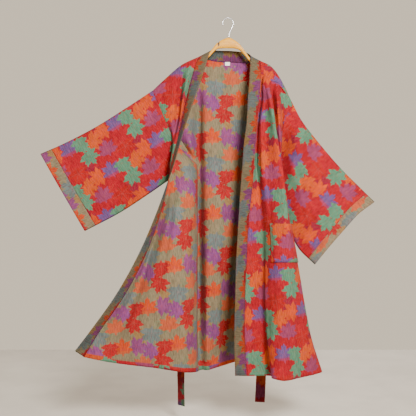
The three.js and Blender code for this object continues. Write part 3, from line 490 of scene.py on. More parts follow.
left_sleeve_grid, left_cuff_grid = whole_sleeve(LEFT_SLEEVE, left_arm_front, left_arm_back)
right_sleeve_grid, right_cuff_grid = whole_sleeve(RIGHT_SLEEVE, right_arm_front, right_arm_back)
print("left sleeve along its top:", round(along(left_sleeve_grid[:, 60])[-1]), "mm")

# %% Neckband grids
BAND_STEPS = 6
NECK_STEPS = 30
left_free, right_free = (line_through([seen(row[0]) for row in band]) for band in (LEFT_BAND, RIGHT_BAND))
neck_free = even_line_through(
    [seen(LEFT_BAND[0][0]), *(seen(row[0]) for row in NECK_BAND), seen(RIGHT_BAND[0][0])])


def band_grid(stations):
    across = np.linspace(0, 1, BAND_STEPS + 1)[None, :, None]
    return np.concatenate([free[:, None] * (1 - across) + seam[:, None] * across
                           for free, seam in stations])


left_neck = np.linspace(0, 0.5, NECK_STEPS)
right_neck = np.linspace(0.5, 1, NECK_STEPS)
left_band_grid = band_grid([
    (left_free(ROWS[::-1]), left_band_seam(ROWS[::-1])),
    (neck_free(left_neck[1:]), neck_seam(left_neck[1:]))])
right_band_grid = band_grid([
    (neck_free(right_neck[:-1]), neck_seam(right_neck[:-1])),
    (right_free(ROWS), right_band_seam(ROWS))])
print("left neckband, hem to neck:", round(along(left_band_grid[:, 0])[-1]), "mm")

# %% [markdown]
# ## Flat cloth
# A woven pattern lies straight on the flat cloth and bends with it. So each panel is flattened
# first: its grid is laid out in the plane, and every link between neighbours is pulled back to its
# true length until the sheet settles, as paper would. The result is the panel's cut, in metres. It
# serves as the UV map, and its size is what the piece was cut to.

# %% Flatten
COARSE_ROWS, COARSE_COLUMNS = 26, 20
COARSE_ROUNDS, FINE_ROUNDS = 900, 60
EAGER = 1.5  # a point moves this much further than its links ask, so the sheet settles sooner


def links_of(shape):
    rows, columns = shape
    index = np.arange(rows * columns).reshape(rows, columns)
    return [(index[:-1], index[1:]), (index[:, :-1], index[:, 1:]),
            (index[:-1, :-1], index[1:, 1:]), (index[:-1, 1:], index[1:, :-1])]


def relax(flat, grid, rounds):
    shape = grid.shape[:2]
    flat = flat.reshape(-1, 2).copy()
    points = grid.reshape(-1, 3)
    links = [(a.ravel(), b.ravel()) for a, b in links_of(shape)]
    lengths = [np.linalg.norm(points[b] - points[a], axis=1) for a, b in links]
    count = np.zeros(len(flat))
    for a, b in links:
        count[a] += 1
        count[b] += 1
    for _ in range(rounds):
        move = np.zeros_like(flat)
        for (a, b), length in zip(links, lengths):
            gap = flat[b] - flat[a]
            now = np.linalg.norm(gap, axis=1) + 1e-9
            pull = gap * (0.5 * (now - length) / now)[:, None]
            move[a] += pull
            move[b] -= pull
        flat += move / count[:, None] * EAGER
    return flat.reshape(*shape, 2)


def flatten(grid, grain):
    """Settles a coarse net of the sheet first, then the whole sheet from there."""
    rows = np.unique(np.linspace(0, len(grid) - 1, COARSE_ROWS).astype(int))
    columns = np.unique(np.linspace(0, len(grid[0]) - 1, COARSE_COLUMNS).astype(int))
    coarse = grid[np.ix_(rows, columns)]
    start = np.zeros((*coarse.shape[:2], 2))
    middle = len(columns) * grain // len(grid[0])
    for row, line in enumerate(coarse):
        run = along(line)
        start[row, :, 0] = run - run[middle]
    start[:, :, 1] = along(coarse[:, middle])[:, None]
    settled = relax(start, coarse, COARSE_ROUNDS)
    flat = np.empty((*grid.shape[:2], 2))
    for axis in range(2):
        down = np.array([np.interp(np.arange(len(grid)), rows, line) for line in settled[:, :, axis].T])
        flat[:, :, axis] = [np.interp(np.arange(len(grid[0])), columns, line) for line in down.T]
    return relax(flat, grid, FINE_ROUNDS)


print("links between neighbours in the back:", sum(a.size for a, _ in links_of(back_grid.shape[:2])))

# %% Lay the pattern
def lay_pattern(grid, flat, grain, leaf_at, turn=0):
    """Turns the flat sheet so that the grain column runs down, with a leaf where the photo has one."""
    start, end = flat[len(flat) // 4, grain], flat[-1, grain]
    angle = math.atan2(end[0] - start[0], end[1] - start[1]) + math.radians(turn)
    spin = np.array([[math.cos(angle), -math.sin(angle)], [math.sin(angle), math.cos(angle)]])
    flat = flat @ spin.T
    away = np.linalg.norm(on_picture(grid) - np.array(leaf_at), axis=-1)
    row, column = np.unravel_index(np.argmin(away), away.shape)
    return (flat - flat[row, column]) * MM


def cut_size(flat):
    low, high = flat.reshape(-1, 2).min(0), flat.reshape(-1, 2).max(0)
    return tuple(round(float(side), 3) for side in high - low)


def cut_area(flat):
    ahead = flat[1:, 1:] - flat[:-1, :-1]
    aside = flat[1:, :-1] - flat[:-1, 1:]
    return float(np.abs(ahead[..., 0] * aside[..., 1] - ahead[..., 1] * aside[..., 0]).sum() / 2)


LEFT_GRAIN, RIGHT_GRAIN, BACK_GRAIN = 38, 46, 60  # the column of each grid that hangs straight
PURPLE_SEEN = {"left_front": (173.4, 266.2), "right_front": (275.8, 274.6), "back": (212.3, 137.4),
               "left_sleeve": (111.2, 170.6), "right_sleeve": (328.5, 200.9)}
MIRROR = np.array([-1, 1])
left_front_flat = lay_pattern(
    left_front_grid, flatten(left_front_grid, LEFT_GRAIN) * MIRROR, LEFT_GRAIN,
    PURPLE_SEEN["left_front"], -10)
right_front_flat = lay_pattern(
    right_front_grid, flatten(right_front_grid, RIGHT_GRAIN), RIGHT_GRAIN,
    PURPLE_SEEN["right_front"])
back_flat = lay_pattern(
    back_grid, flatten(back_grid, BACK_GRAIN) * MIRROR, BACK_GRAIN, PURPLE_SEEN["back"])
print("flat cuts:", cut_size(left_front_flat), cut_size(right_front_flat), cut_size(back_flat))

# %% [markdown]
# ## Thin cloth
# Cloth is a sheet with two faces. Each fine grid becomes a thin shell: one face on either side of
# the middle surface and a narrow rim. The outer face shows the red side of the weave and the inner
# face the grey-green side, so the two have materials of their own.

# %% Normals and objects
def grid_normals(grid, closed=False):
    if closed:
        grid = np.concatenate([grid[:, -2:-1], grid, grid[:, 1:2]], axis=1)
    down = np.gradient(grid, axis=0)
    across = np.gradient(grid, axis=1)
    if closed:
        down, across = down[:, 1:-1], across[:, 1:-1]
    normal = np.cross(across, down)
    return normal / (np.linalg.norm(normal, axis=-1, keepdims=True) + 1e-12)


def mesh_object(name, points, faces, uvs, materials, face_materials=None, smooth=True):
    mesh = bpy.data.meshes.new(name)
    mesh.from_pydata((np.asarray(points) * MM).tolist(), [], [list(face) for face in faces])
    if uvs is not None:
        layer = mesh.uv_layers.new(name="Cloth")
        layer.data.foreach_set("uv", np.asarray(uvs, np.float32).ravel())
    for material in materials:
        mesh.materials.append(material)
    if face_materials is not None:
        mesh.polygons.foreach_set("material_index", np.asarray(face_materials, np.int32))
    mesh.polygons.foreach_set("use_smooth", [smooth] * len(mesh.polygons))
    mesh.update()
    piece = bpy.data.objects.new(name, mesh)
    bpy.context.collection.objects.link(piece)
    return piece


print("the middle of the back faces:", grid_normals(back_grid)[100, BACK_GRAIN].round(2))

# %% Shells
THIN = 0.6  # half of the cloth's thickness, in millimetres
FOLDED = 0.9  # how much further in a folded hem stands


def shell(name, grid, flat, outward, materials, closed=False, out=THIN, into=-THIN, normals=None,
          hem=None):
    """A thin shell on a grid of points; outward is +1 or -1 along across x down."""
    rows, columns = grid.shape[:2]
    if normals is None:
        normals = grid_normals(grid, closed) * outward
    width = columns - 1 if closed else columns
    turned_up = np.zeros((rows, columns), bool)
    if hem is not None:
        from_hem = np.array([along(line[::-1])[::-1] for line in grid.transpose(1, 0, 2)]).T
        turned_up = from_hem <= hem
    lifts = (out + np.zeros(turned_up.shape), into - FOLDED * turned_up)
    layers = [(grid + normals * lift[..., None])[:, :width].reshape(-1, 3) for lift in lifts]
    index = np.arange(rows)[:, None] * width + np.arange(columns)[None] % width
    uv_index = np.arange(rows * columns).reshape(rows, columns)
    inner = rows * width
    faces, corners, kinds = [], [], []

    def add(a, b, c, d, kind, layer_of):
        for part, store in ((index, faces), (uv_index, corners)):
            shift = inner if part is index else 0
            quad = [part[corner] + shift * layer for corner, layer in zip((a, b, c, d), layer_of)]
            store.append(np.stack([np.ravel(side) for side in quad], axis=-1))
        folded = turned_up[:-1, :-1].ravel() if kind else False
        kinds.append(np.where(folded, 0, np.full(faces[-1].shape[0], kind)))

    here = (slice(None, -1), slice(None, -1))
    right = (slice(None, -1), slice(1, None))
    below = (slice(1, None), slice(None, -1))
    across = (slice(1, None), slice(1, None))
    ring = (here, right, across, below)
    if outward < 0:
        ring = ring[::-1]
    add(*ring, 0, (0, 0, 0, 0))
    add(*ring[::-1], 1, (1, 1, 1, 1))
    # The rim: the first and last row, and on an open sheet the first and last column. Two of the
    # four run the other way round the sheet, so their faces are turned over.
    edges = [(0, slice(None)), (-1, slice(None))]
    if not closed:
        edges += [(slice(None), 0), (slice(None), -1)]
    for number, (row, column) in enumerate(edges):
        line, uv_line = index[row, column], uv_index[row, column]
        quad = np.stack([line[:-1], line[1:], line[1:] + inner, line[:-1] + inner], axis=-1)
        uv_quad = np.stack([uv_line[:-1], uv_line[1:], uv_line[1:], uv_line[:-1]], axis=-1)
        if (number in (0, 3)) == (outward > 0):
            quad, uv_quad = quad[:, ::-1], uv_quad[:, ::-1]
        faces.append(quad)
        corners.append(uv_quad)
        kinds.append(np.zeros(len(quad), int))
    faces, corners, kinds = (np.concatenate(part) for part in (faces, corners, kinds))
    uvs = flat.reshape(-1, 2)[corners]
    return mesh_object(name, np.concatenate(layers), faces, uvs, materials, kinds)


print("cloth thickness:", 2 * THIN, "mm")

# %% [markdown]
# ## The woven leaf pattern
# The cloth is a jacquard: two layers of coloured yarn that change places, so a leaf that is teal on
# the red side is red on the grey-green side. The leaves repeat every 200 mm across and 143 mm down,
# and every second row is shifted by half. One node group draws a maple leaf at any place of that
# repeat, and a second one lays the leaves of one repeat over each other in both sets of colours.

# %% Node helpers
REPEAT = (0.2, 0.143)
ROW_SHIFT = 0.1


class Nodes:
    """Adds nodes to a tree; a value may be a number, a colour or another node's output."""

    def __init__(self, tree):
        self.tree = tree

    def make(self, kind, settings=None, **inputs):
        node = self.tree.nodes.new(kind)
        for key, value in (settings or {}).items():
            setattr(node, key, value)
        for key, value in inputs.items():
            name = int(key[1:]) if key[0] == "i" and key[1:].isdigit() else key.replace("_", " ")
            socket = node.inputs[name]
            if isinstance(value, bpy.types.NodeSocket):
                self.tree.links.new(value, socket)
            else:
                socket.default_value = value
        return node

    def math(self, operation, a, b=0.0, c=0.0):
        return self.make("ShaderNodeMath", {"operation": operation}, i0=a, i1=b, i2=c).outputs[0]

    def vector(self, operation, a, b=(0, 0, 0), c=(0, 0, 0)):
        node = self.make("ShaderNodeVectorMath", {"operation": operation}, i0=a, i1=b, i2=c)
        return node.outputs["Value" if operation == "LENGTH" else "Vector"]

    def mix(self, share, a, b, blend="MIX"):
        node = self.make("ShaderNodeMix", {"data_type": "RGBA", "blend_type": blend})
        for name, value in (("Factor", share), ("A", a), ("B", b)):
            wanted = "VALUE" if name == "Factor" else "RGBA"
            socket = next(slot for slot in node.inputs if slot.name == name and slot.type == wanted)
            if isinstance(value, bpy.types.NodeSocket):
                self.tree.links.new(value, socket)
            else:
                socket.default_value = value
        return next(slot for slot in node.outputs if slot.type == "RGBA")

    def band(self, value, start, end, low=0.0, high=1.0):
        node = self.make("ShaderNodeMapRange", {"interpolation_type": "SMOOTHSTEP"}, Value=value,
                         From_Min=start, From_Max=end, To_Min=low, To_Max=high)
        return node.outputs[0]

    def group(self, tree, **inputs):
        return self.make("ShaderNodeGroup", {"node_tree": tree}, **inputs).outputs


print("one repeat of the pattern, in metres:", REPEAT)

# %% Groups and colours
def new_group(name, inputs, outputs):
    tree = bpy.data.node_groups.new(name, "ShaderNodeTree")
    for label, kind in inputs.items():
        tree.interface.new_socket(label, in_out="INPUT", socket_type="NodeSocket" + kind)
    for label, kind in outputs.items():
        tree.interface.new_socket(label, in_out="OUTPUT", socket_type="NodeSocket" + kind)
    entry = tree.nodes.new("NodeGroupInput").outputs
    end = tree.nodes.new("NodeGroupOutput").inputs
    return tree, Nodes(tree), entry, lambda label, value: tree.links.new(value, end[label])


def colour(red, green, blue):
    """A colour as it looks on a screen, 0 to 255, as the shader wants it."""
    linear = [((part / 255 + 0.055) / 1.055) ** 2.4 for part in (red, green, blue)]
    return (*linear, 1)


DYE_DEPTH = 0.56  # the dyes are this much deeper than they look in full light


def dyed(shade):
    return (*(part * DYE_DEPTH for part in colour(*shade)[:3]), 1)


print("a mid grey for the shader:", round(colour(128, 128, 128)[0], 3))

# %% One maple leaf
OUTLINE = [  # degrees from the tip, and the leaf's reach there
    (0, 1.0), (7, 0.8), (13, 0.84), (23, 0.5), (32, 0.72), (38, 0.74), (46, 0.98), (54, 0.74),
    (62, 0.78), (73, 0.48), (84, 0.68), (96, 0.88), (108, 0.62), (122, 0.6), (140, 0.38),
    (168, 0.34), (174, 0.5), (180, 0.52)]
VEINS = (0.0, 46.0, 96.0, 180.0)
leaf, make, entry, give = new_group(
    "Maple leaf", {"Cloth": "Vector", "Centre": "Vector", "Turn": "Float", "Size": "Float"},
    {"Mask": "Float", "Vein": "Float"})
place = make.vector("SUBTRACT", entry["Cloth"], entry["Centre"])
across, down, _ = make.make("ShaderNodeSeparateXYZ", Vector=place).outputs
row = make.math("ROUND", make.math("DIVIDE", down, REPEAT[1]))
down = make.math("MULTIPLY_ADD", row, -REPEAT[1], down)
across = make.math("MULTIPLY_ADD", row, -ROW_SHIFT, across)
column = make.math("ROUND", make.math("DIVIDE", across, REPEAT[0]))
across = make.math("MULTIPLY_ADD", column, -REPEAT[0], across)
radius = make.math("SQRT", make.math("MULTIPLY_ADD", across, across, make.math("MULTIPLY", down, down)))
radius = make.math("DIVIDE", radius, entry["Size"])
around = make.math("ARCTAN2", across, make.math("MULTIPLY", down, -1.0))
around = make.math("SUBTRACT", around, entry["Turn"])
around = make.math("ABSOLUTE", make.math("WRAP", around, math.pi, -math.pi))
outline = make.make("ShaderNodeValToRGB", Fac=make.math("DIVIDE", around, math.pi))
stops = outline.color_ramp.elements
while len(stops) < len(OUTLINE):
    stops.new(0.5)
for stop, (degrees, _) in zip(stops, OUTLINE):
    stop.position = degrees / 180
for stop, (_, reach) in zip(outline.color_ramp.elements, OUTLINE):  # in their new order
    stop.color = (reach, reach, reach, 1)
edge = outline.outputs["Color"]
vein = math.tau  # further off than any vein
for degrees in VEINS:
    off = make.math("ABSOLUTE", make.math("SUBTRACT", around, math.radians(degrees)))
    vein = make.math("MINIMUM", vein, off)
give("Mask", make.band(make.math("SUBTRACT", edge, radius), -0.02, 0.02))
give("Vein", make.band(make.math("MULTIPLY", vein, radius), 0.012, 0.04, 1.0, 0.0))
print("nodes in the leaf:", len(leaf.nodes))

# %% [markdown]
# The leaves of one repeat, from the lowest to the topmost. Each row holds its place in millimetres
# from the purple leaf, where its tip points in degrees from straight up, its size, its colour on the
# red side and its colour on the grey-green side. The purple leaf turns rose in its lower half, and
# the teal one is three leaves in a chain. Fine noise shakes the outlines, as single threads do.

# %% The leaves of one repeat
LEAVES = [
    ((128, -30), 40, 44, (166, 8, 58), (170, 136, 86)),
    ((52, -74), 150, 42, (212, 2, 38), (136, 142, 108)),
    ((90, -50), 172, 50, (204, 14, 12), (112, 136, 132)),
    ((126, 72), 4, 46, (160, 66, 108), (222, 104, 60)),
    ((-50, -3), -88, 44, (236, 84, 0), (144, 80, 134)),
    ((92, 13), 122, 43, (232, 92, 0), (144, 80, 142)),
    ((0, 7), 2, 46, (106, 88, 146), (236, 84, 0)),
    ((49, 22), 20, 32, (86, 156, 122), (204, 0, 30)),
    ((46, -3), 178, 40, (86, 156, 122), (204, 0, 30)),
    ((53, 53), 163, 45, (86, 156, 122), (204, 0, 30))]
PURPLE_LEAF = 6
PURPLE_MIDDLE = 0.007
PURPLE_TURNS = (0.009, 0.016)  # where its colour changes, in metres down from its middle row
PURPLE_LOW = ((172, 58, 100), (222, 104, 58))
GROUND = ((196, 0, 38), (150, 140, 108))
SHAKE = 0.0042

pattern, make, entry, give = new_group(
    "Leaf pattern", {"Cloth": "Vector"},
    {"Red side": "Color", "Grey-green side": "Color", "Vein": "Float"})
ragged = make.make("ShaderNodeTexNoise", {"noise_dimensions": "2D"}, Vector=entry["Cloth"],
                   Scale=260.0, Detail=2.0, Roughness=0.6)
shake = make.vector("MULTIPLY_ADD", ragged.outputs["Color"], (SHAKE, SHAKE, 0), (-SHAKE / 2, -SHAKE / 2, 0))
cloth = make.vector("ADD", entry["Cloth"], shake)
sides = [dyed(side) for side in GROUND]
veins = 0.0
for number, ((across, down), turn, size, *faces) in enumerate(LEAVES):
    mask, vein = make.group(leaf, Cloth=cloth, Centre=(across * MM, down * MM, 0),
                            Turn=math.radians(turn), Size=size * MM)
    for side, shade in enumerate(faces):
        shade = dyed(shade)
        if number == PURPLE_LEAF:
            local = make.make("ShaderNodeSeparateXYZ", Vector=cloth).outputs[1]
            row = make.math("DIVIDE", make.math("SUBTRACT", local, PURPLE_MIDDLE), REPEAT[1])
            local = make.math("MULTIPLY_ADD", make.math("ROUND", row), -REPEAT[1], local)
            shade = make.mix(make.band(local, *PURPLE_TURNS), shade, dyed(PURPLE_LOW[side]))
        sides[side] = make.mix(mask, sides[side], shade)
    kept = make.math("SUBTRACT", 1.0, mask)
    veins = make.math("ADD", make.math("MULTIPLY", veins, kept), make.math("MULTIPLY", vein, mask))
give("Red side", sides[0])
give("Grey-green side", sides[1])
give("Vein", veins)
print("leaves in a repeat:", len(LEAVES))

# %% [markdown]
# ## Yarn and crinkle
# The weave is a soft crinkled cotton. Up close there are threads both ways, less than a millimetre
# apart, and the two yarn colours mix in short flecks. Further away the cloth has fine lengthwise
# crinkles, three or four millimetres apart, that break up the light. The neckband and the belt are
# sewn double. The neckband's cloth is darkened as a painted shade, and the belt's is made darker too.

# %% The weave
THREAD = 0.0009
CRINKLES, RUMPLES, SPECKS = (330.0, 46.0, 1.0), (26.0, 15.0, 1.0), (900.0, 520.0, 1.0)
DARKEST = 0.54  # the shade of the deepest place, to which the parts below add
CRINKLE_SHADE, RUMPLE_SHADE, THREAD_SHADE = 0.34, 0.4, 0.03
CRINKLE_HEIGHT, RUMPLE_HEIGHT, THREAD_HEIGHT = 0.0018, 0.006, 0.00003  # in metres
weave, make, entry, give = new_group(
    "Crinkled weave", {"Cloth": "Vector"}, {"Fleck": "Float", "Shade": "Float", "Height": "Float"})
across, down, _ = make.make("ShaderNodeSeparateXYZ", Vector=entry["Cloth"]).outputs
warp = make.math("SINE", make.math("MULTIPLY", across, math.tau / THREAD))
weft = make.math("SINE", make.math("MULTIPLY", down, math.tau / THREAD))
threads = make.math("MULTIPLY_ADD", warp, weft, make.math("MULTIPLY", weft, 0.35))
long = make.make("ShaderNodeMapping", Vector=entry["Cloth"], Scale=CRINKLES).outputs[0]
crinkle = make.make("ShaderNodeTexNoise", {"noise_dimensions": "2D"}, Vector=long, Scale=1.0,
                    Detail=2.5, Roughness=0.55, Distortion=0.35).outputs[0]
wide = make.make("ShaderNodeMapping", Vector=entry["Cloth"], Scale=RUMPLES).outputs[0]
rumple = make.make("ShaderNodeTexNoise", {"noise_dimensions": "2D"}, Vector=wide, Scale=1.0,
                   Detail=3.0, Roughness=0.5).outputs[0]
speck = make.make("ShaderNodeMapping", Vector=entry["Cloth"], Scale=SPECKS).outputs[0]
fleck = make.make("ShaderNodeTexNoise", {"noise_dimensions": "2D"}, Vector=speck, Scale=1.0,
                  Detail=1.0).outputs[0]
give("Fleck", make.band(fleck, 0.5, 0.72))
folds = make.band(crinkle, 0.34, 0.64)
shade = make.math("MULTIPLY_ADD", rumple, RUMPLE_SHADE, DARKEST)
shade = make.math("MULTIPLY_ADD", folds, CRINKLE_SHADE, shade)
give("Shade", make.math("MULTIPLY_ADD", threads, THREAD_SHADE, shade))
height = make.math("MULTIPLY", rumple, RUMPLE_HEIGHT)
height = make.math("MULTIPLY_ADD", crinkle, CRINKLE_HEIGHT, height)
give("Height", make.math("MULTIPLY_ADD", threads, THREAD_HEIGHT, height))
print("thread spacing:", THREAD, "m")

# %% Cloth materials
FLECK_SHARE, VEIN_SHARE = 0.32, 0.13


def cloth_material(name, face, other, depth=1.0):
    material = bpy.data.materials.new(name)
    material.use_nodes = True
    make = Nodes(material.node_tree)
    surface = material.node_tree.nodes["Principled BSDF"]
    flat = make.make("ShaderNodeUVMap", {"uv_map": "Cloth"}).outputs[0]
    leaves = make.group(pattern, Cloth=flat)
    cloth = make.group(weave, Cloth=flat)
    tint = make.mix(make.math("MULTIPLY", cloth["Fleck"], FLECK_SHARE), leaves[face], leaves[other])
    tint = make.mix(make.math("MULTIPLY", leaves["Vein"], VEIN_SHARE), tint, leaves[other])
    # A depth below one darkens the whole cloth: painted shade on the neckband, and a darker belt.
    shade = make.math("MULTIPLY", cloth["Shade"], depth)
    grey = make.make("ShaderNodeCombineColor", Red=shade, Green=shade, Blue=shade).outputs[0]
    tint = make.mix(1.0, tint, grey, "MULTIPLY")
    material.node_tree.links.new(tint, surface.inputs["Base Color"])
    bump = make.make("ShaderNodeBump", Height=cloth["Height"], Strength=0.55, Distance=1.0).outputs[0]
    material.node_tree.links.new(bump, surface.inputs["Normal"])
    surface.inputs["Roughness"].default_value = 0.88
    surface.inputs["Specular IOR Level"].default_value = 0.06
    surface.inputs["Sheen Weight"].default_value = 0.03
    surface.inputs["Sheen Roughness"].default_value = 0.5
    return material


red_side = cloth_material("robe cloth, red side", "Red side", "Grey-green side")
green_side = cloth_material("robe cloth, grey-green side", "Grey-green side", "Red side")
# The neckband's darker cloth is painted shade; the belt's cloth is simply made darker.
band_cloth = cloth_material("neckband cloth, folded double, painted shade", "Grey-green side", "Red side", 0.56)
belt_cloth = cloth_material("belt cloth, folded double, darkened", "Red side", "Grey-green side", 0.5)
print("cloth materials:", red_side.name, "and", green_side.name)

# %% [markdown]
# ## Wood, wire, thread and tape
# Nothing real is one flat colour: varnish, bright wire, thread and woven tape all vary a little from
# place to place, in colour and in gloss. One group gives that unevenness and each material sets its
# own fineness. The wood adds its grain, which runs along the hanger, and a painted shade in the strap
# notch.

# %% Other materials
variation, make, entry, give = new_group(
    "Uneven surface", {"Place": "Vector", "Fineness": "Float"}, {"Mask": "Float"})
spots = make.make("ShaderNodeTexNoise", Vector=entry["Place"], Scale=entry["Fineness"], Detail=2.0,
                  Roughness=0.55).outputs[0]
give("Mask", make.band(spots, 0.3, 0.7))


def blank_material(name, roughness, fineness, metallic=0.0):
    """A material with uneven gloss and no colour yet, and what its colour needs."""
    material = bpy.data.materials.new(name)
    material.use_nodes = True
    make = Nodes(material.node_tree)
    surface = material.node_tree.nodes["Principled BSDF"]
    place = make.make("ShaderNodeTexCoord").outputs["Object"]
    mask = make.group(variation, Place=place, Fineness=fineness)["Mask"]
    material.node_tree.links.new(make.band(mask, 0.0, 1.0, *roughness), surface.inputs["Roughness"])
    surface.inputs["Metallic"].default_value = metallic
    return material, make, surface, place, mask


def uneven_material(name, tints, roughness, fineness, metallic=0.0, depth=0.0):
    material, make, surface, _, mask = blank_material(name, roughness, fineness, metallic)
    tint = make.mix(mask, colour(*tints[0]), colour(*tints[1]))
    material.node_tree.links.new(tint, surface.inputs["Base Color"])
    if depth:
        bump = make.make("ShaderNodeBump", Height=mask, Strength=0.5, Distance=depth).outputs[0]
        material.node_tree.links.new(bump, surface.inputs["Normal"])
    return material


thread = uneven_material(
    "sewing thread", ((166, 46, 48), (132, 32, 38)), (0.74, 0.86), 2500.0, depth=0.0001)
wire = uneven_material("hook wire", ((212, 212, 213), (190, 190, 193)), (0.2, 0.34), 90.0, metallic=1.0)
tape = uneven_material(
    "label tape", ((242, 238, 229), (226, 221, 209)), (0.74, 0.86), 1400.0, depth=0.0002)
floor_paint = uneven_material("pale floor", ((199, 191, 179), (193, 185, 173)), (0.86, 0.94), 6.0)
print("materials so far:", len(bpy.data.materials))

# %% Varnished wood
GRAIN = (14.0, 260.0, 260.0)
NOTCH_SHADE_SEEN, NOTCH_SHADE_TURN, NOTCH_SHADE_SHAPE = (218.6, 44.4, 0), 38, (300.0, 0.0, 110.0)
wood, make, surface, place, _ = blank_material("varnished wood", (0.44, 0.54), 60.0)
lines = make.make("ShaderNodeMapping", Vector=place, Scale=GRAIN).outputs[0]
lines = make.make("ShaderNodeTexNoise", Vector=lines, Scale=1.0, Detail=3.0, Distortion=0.6).outputs[0]
tint = make.mix(make.band(lines, 0.35, 0.7), colour(222, 158, 22), colour(200, 132, 12))
# A dark oval where the strap notch dips in: painted shade in the notch's hollow.
slot = make.vector("SUBTRACT", place, tuple(seen(NOTCH_SHADE_SEEN) * MM))
slot = make.make("ShaderNodeMapping", Vector=slot, Rotation=(0, math.radians(NOTCH_SHADE_TURN), 0),
                 Scale=NOTCH_SHADE_SHAPE).outputs[0]
tint = make.mix(make.band(make.vector("LENGTH", slot), 0.8, 1.1), colour(70, 40, 20), tint)
wood.node_tree.links.new(tint, surface.inputs["Base Color"])
surface.inputs["Specular IOR Level"].default_value = 0.3
print("nodes in the wood:", len(wood.node_tree.nodes))

# %% [markdown]
# ## Creases
# Worn and washed cotton never hangs as smoothly as a drawn form. A crease is a soft trough or ridge
# that fades out at both ends and bends a little. Each row below gives its two ends, as the fold line
# and the row of the panel's table, then its half width, its height and its bend in millimetres. On a
# sleeve an end is the share of the way round and of the way to the cuff. They were placed where
# the photo shows them; the back and the hidden sides have similar ones.

# %% Crease tables
LEFT_CREASES = [
    ((1.1, 6.2), (1.4, 9.6), 11, -3.2, 8), ((2.2, 6.6), (2.5, 11.8), 13, 3.4, -10),
    ((3.1, 6.4), (3.0, 10.4), 9, -2.6, 7), ((3.5, 8.0), (3.4, 12.4), 10, 2.8, 6),
    ((4.3, 6.6), (4.5, 11.2), 11, -3.0, -8), ((5.0, 7.2), (5.1, 12.3), 8, 2.2, 5),
    ((1.7, 9.0), (1.9, 12.4), 9, 2.4, -6), ((2.7, 10.2), (2.9, 12.4), 7, -2.2, 4),
    ((0.7, 7.6), (0.8, 11.6), 7, 1.8, -5), ((5.4, 1.6), (4.2, 4.6), 9, -2.4, 6),
    ((3.6, 1.2), (3.0, 3.6), 8, 2.0, 4), ((4.1, 10.6), (4.0, 12.4), 7, -2.4, 3),
    ((2.0, 5.2), (3.6, 6.6), 8, 1.8, 5), ((1.3, 10.8), (1.2, 12.4), 6, -1.8, -3)]
RIGHT_CREASES = [
    ((1.2, 2.0), (1.1, 7.4), 8, -2.6, 6), ((2.3, 3.0), (2.5, 8.6), 9, 2.4, -7),
    ((3.4, 1.6), (3.5, 5.2), 8, 2.8, 6), ((3.1, 5.6), (3.0, 11.6), 10, -3.0, -9),
    ((3.7, 8.8), (3.8, 12.4), 9, 2.6, 6), ((2.5, 9.4), (2.4, 12.4), 8, -2.6, 5),
    ((1.6, 8.2), (1.7, 12.3), 8, 2.2, -5), ((4.6, 6.8), (4.7, 11.8), 9, 2.4, 6),
    ((5.5, 7.6), (5.6, 12.2), 9, -2.4, -5), ((6.6, 7.4), (6.4, 12.2), 9, 2.4, 5),
    ((4.3, 2.2), (4.6, 5.0), 6, -2.0, 3), ((6.5, 1.8), (6.0, 4.2), 7, 1.8, 4),
    ((0.6, 6.6), (0.6, 11.4), 6, 1.6, 4), ((3.3, 10.4), (3.2, 12.4), 6, 1.8, -3),
    ((2.9, 2.2), (3.3, 4.0), 5, -1.8, 3), ((7.4, 8.4), (7.2, 12.3), 7, -1.8, 4)]
BACK_CREASES = [
    ((1.5, 8.6), (1.5, 12.2), 6, 1.6, 3), ((3.2, 2.0), (3.3, 5.4), 10, 2.0, 7),
    ((4.3, 1.4), (4.2, 5.2), 11, -2.4, -8), ((5.4, 1.8), (5.2, 5.4), 10, 2.2, 7),
    ((3.5, 8.2), (3.6, 12.4), 9, 2.6, -6), ((4.4, 8.6), (4.3, 12.4), 12, -3.0, 8),
    ((5.3, 8.4), (5.2, 12.4), 12, 3.0, -8), ((6.2, 8.2), (6.3, 12.3), 13, -3.0, 9),
    ((7.1, 8.6), (7.0, 12.4), 12, 2.8, 7), ((7.8, 8.2), (7.9, 12.2), 10, -2.4, -6),
    ((6.3, 1.8), (6.8, 4.8), 9, -2.0, 6), ((7.4, 2.2), (7.2, 5.0), 8, 2.0, 5),
    ((4.8, 9.8), (4.8, 12.4), 8, 2.2, 4), ((3.0, 9.6), (3.1, 12.4), 6, -1.8, 3),
    ((2.4, 2.6), (2.5, 5.2), 6, 1.4, 4), ((5.8, 10.0), (5.8, 12.4), 7, 1.8, 3)]
LEFT_SLEEVE_CREASES = [
    ((0.30, 0.10), (0.42, 0.86), 9, 1.6, 8), ((0.52, 0.06), (0.60, 0.64), 11, -2.0, -9),
    ((0.72, 0.08), (0.78, 0.92), 10, 1.8, 7), ((0.86, 0.04), (0.80, 0.50), 9, -1.8, 6),
    ((0.20, 0.30), (0.24, 0.96), 8, -1.2, 5), ((0.62, 0.42), (0.66, 0.98), 8, 1.6, -6),
    ((-0.35, 0.10), (-0.42, 0.80), 10, 1.6, 8), ((-0.58, 0.12), (-0.52, 0.92), 11, -2.0, -8),
    ((-0.78, 0.06), (-0.72, 0.66), 10, 1.8, 7), ((-0.2, 0.36), (-0.22, 0.94), 8, -1.2, 5),
    ((0.42, 0.55), (0.36, 0.99), 6, 1.2, 3), ((-0.66, 0.5), (-0.7, 0.98), 7, 1.4, 4)]
RIGHT_SLEEVE_CREASES = LEFT_SLEEVE_CREASES + [
    ((0.24, 0.62), (0.22, 0.99), 3.2, 1.1, 2), ((0.29, 0.54), (0.28, 0.99), 3.4, -1.1, 2),
    ((0.34, 0.66), (0.33, 0.99), 3.0, 1.2, -2), ((0.39, 0.58), (0.38, 0.99), 3.4, -1.0, 2),
    ((0.44, 0.64), (0.45, 0.99), 3.2, 1.2, -2), ((0.50, 0.60), (0.51, 0.99), 3.4, 1.0, 2),
    ((0.56, 0.68), (0.57, 0.99), 3.0, -1.1, 2), ((0.64, 0.62), (0.65, 0.99), 3.4, 1.1, -2)]
print("creases on a sleeve:", len(RIGHT_SLEEVE_CREASES))

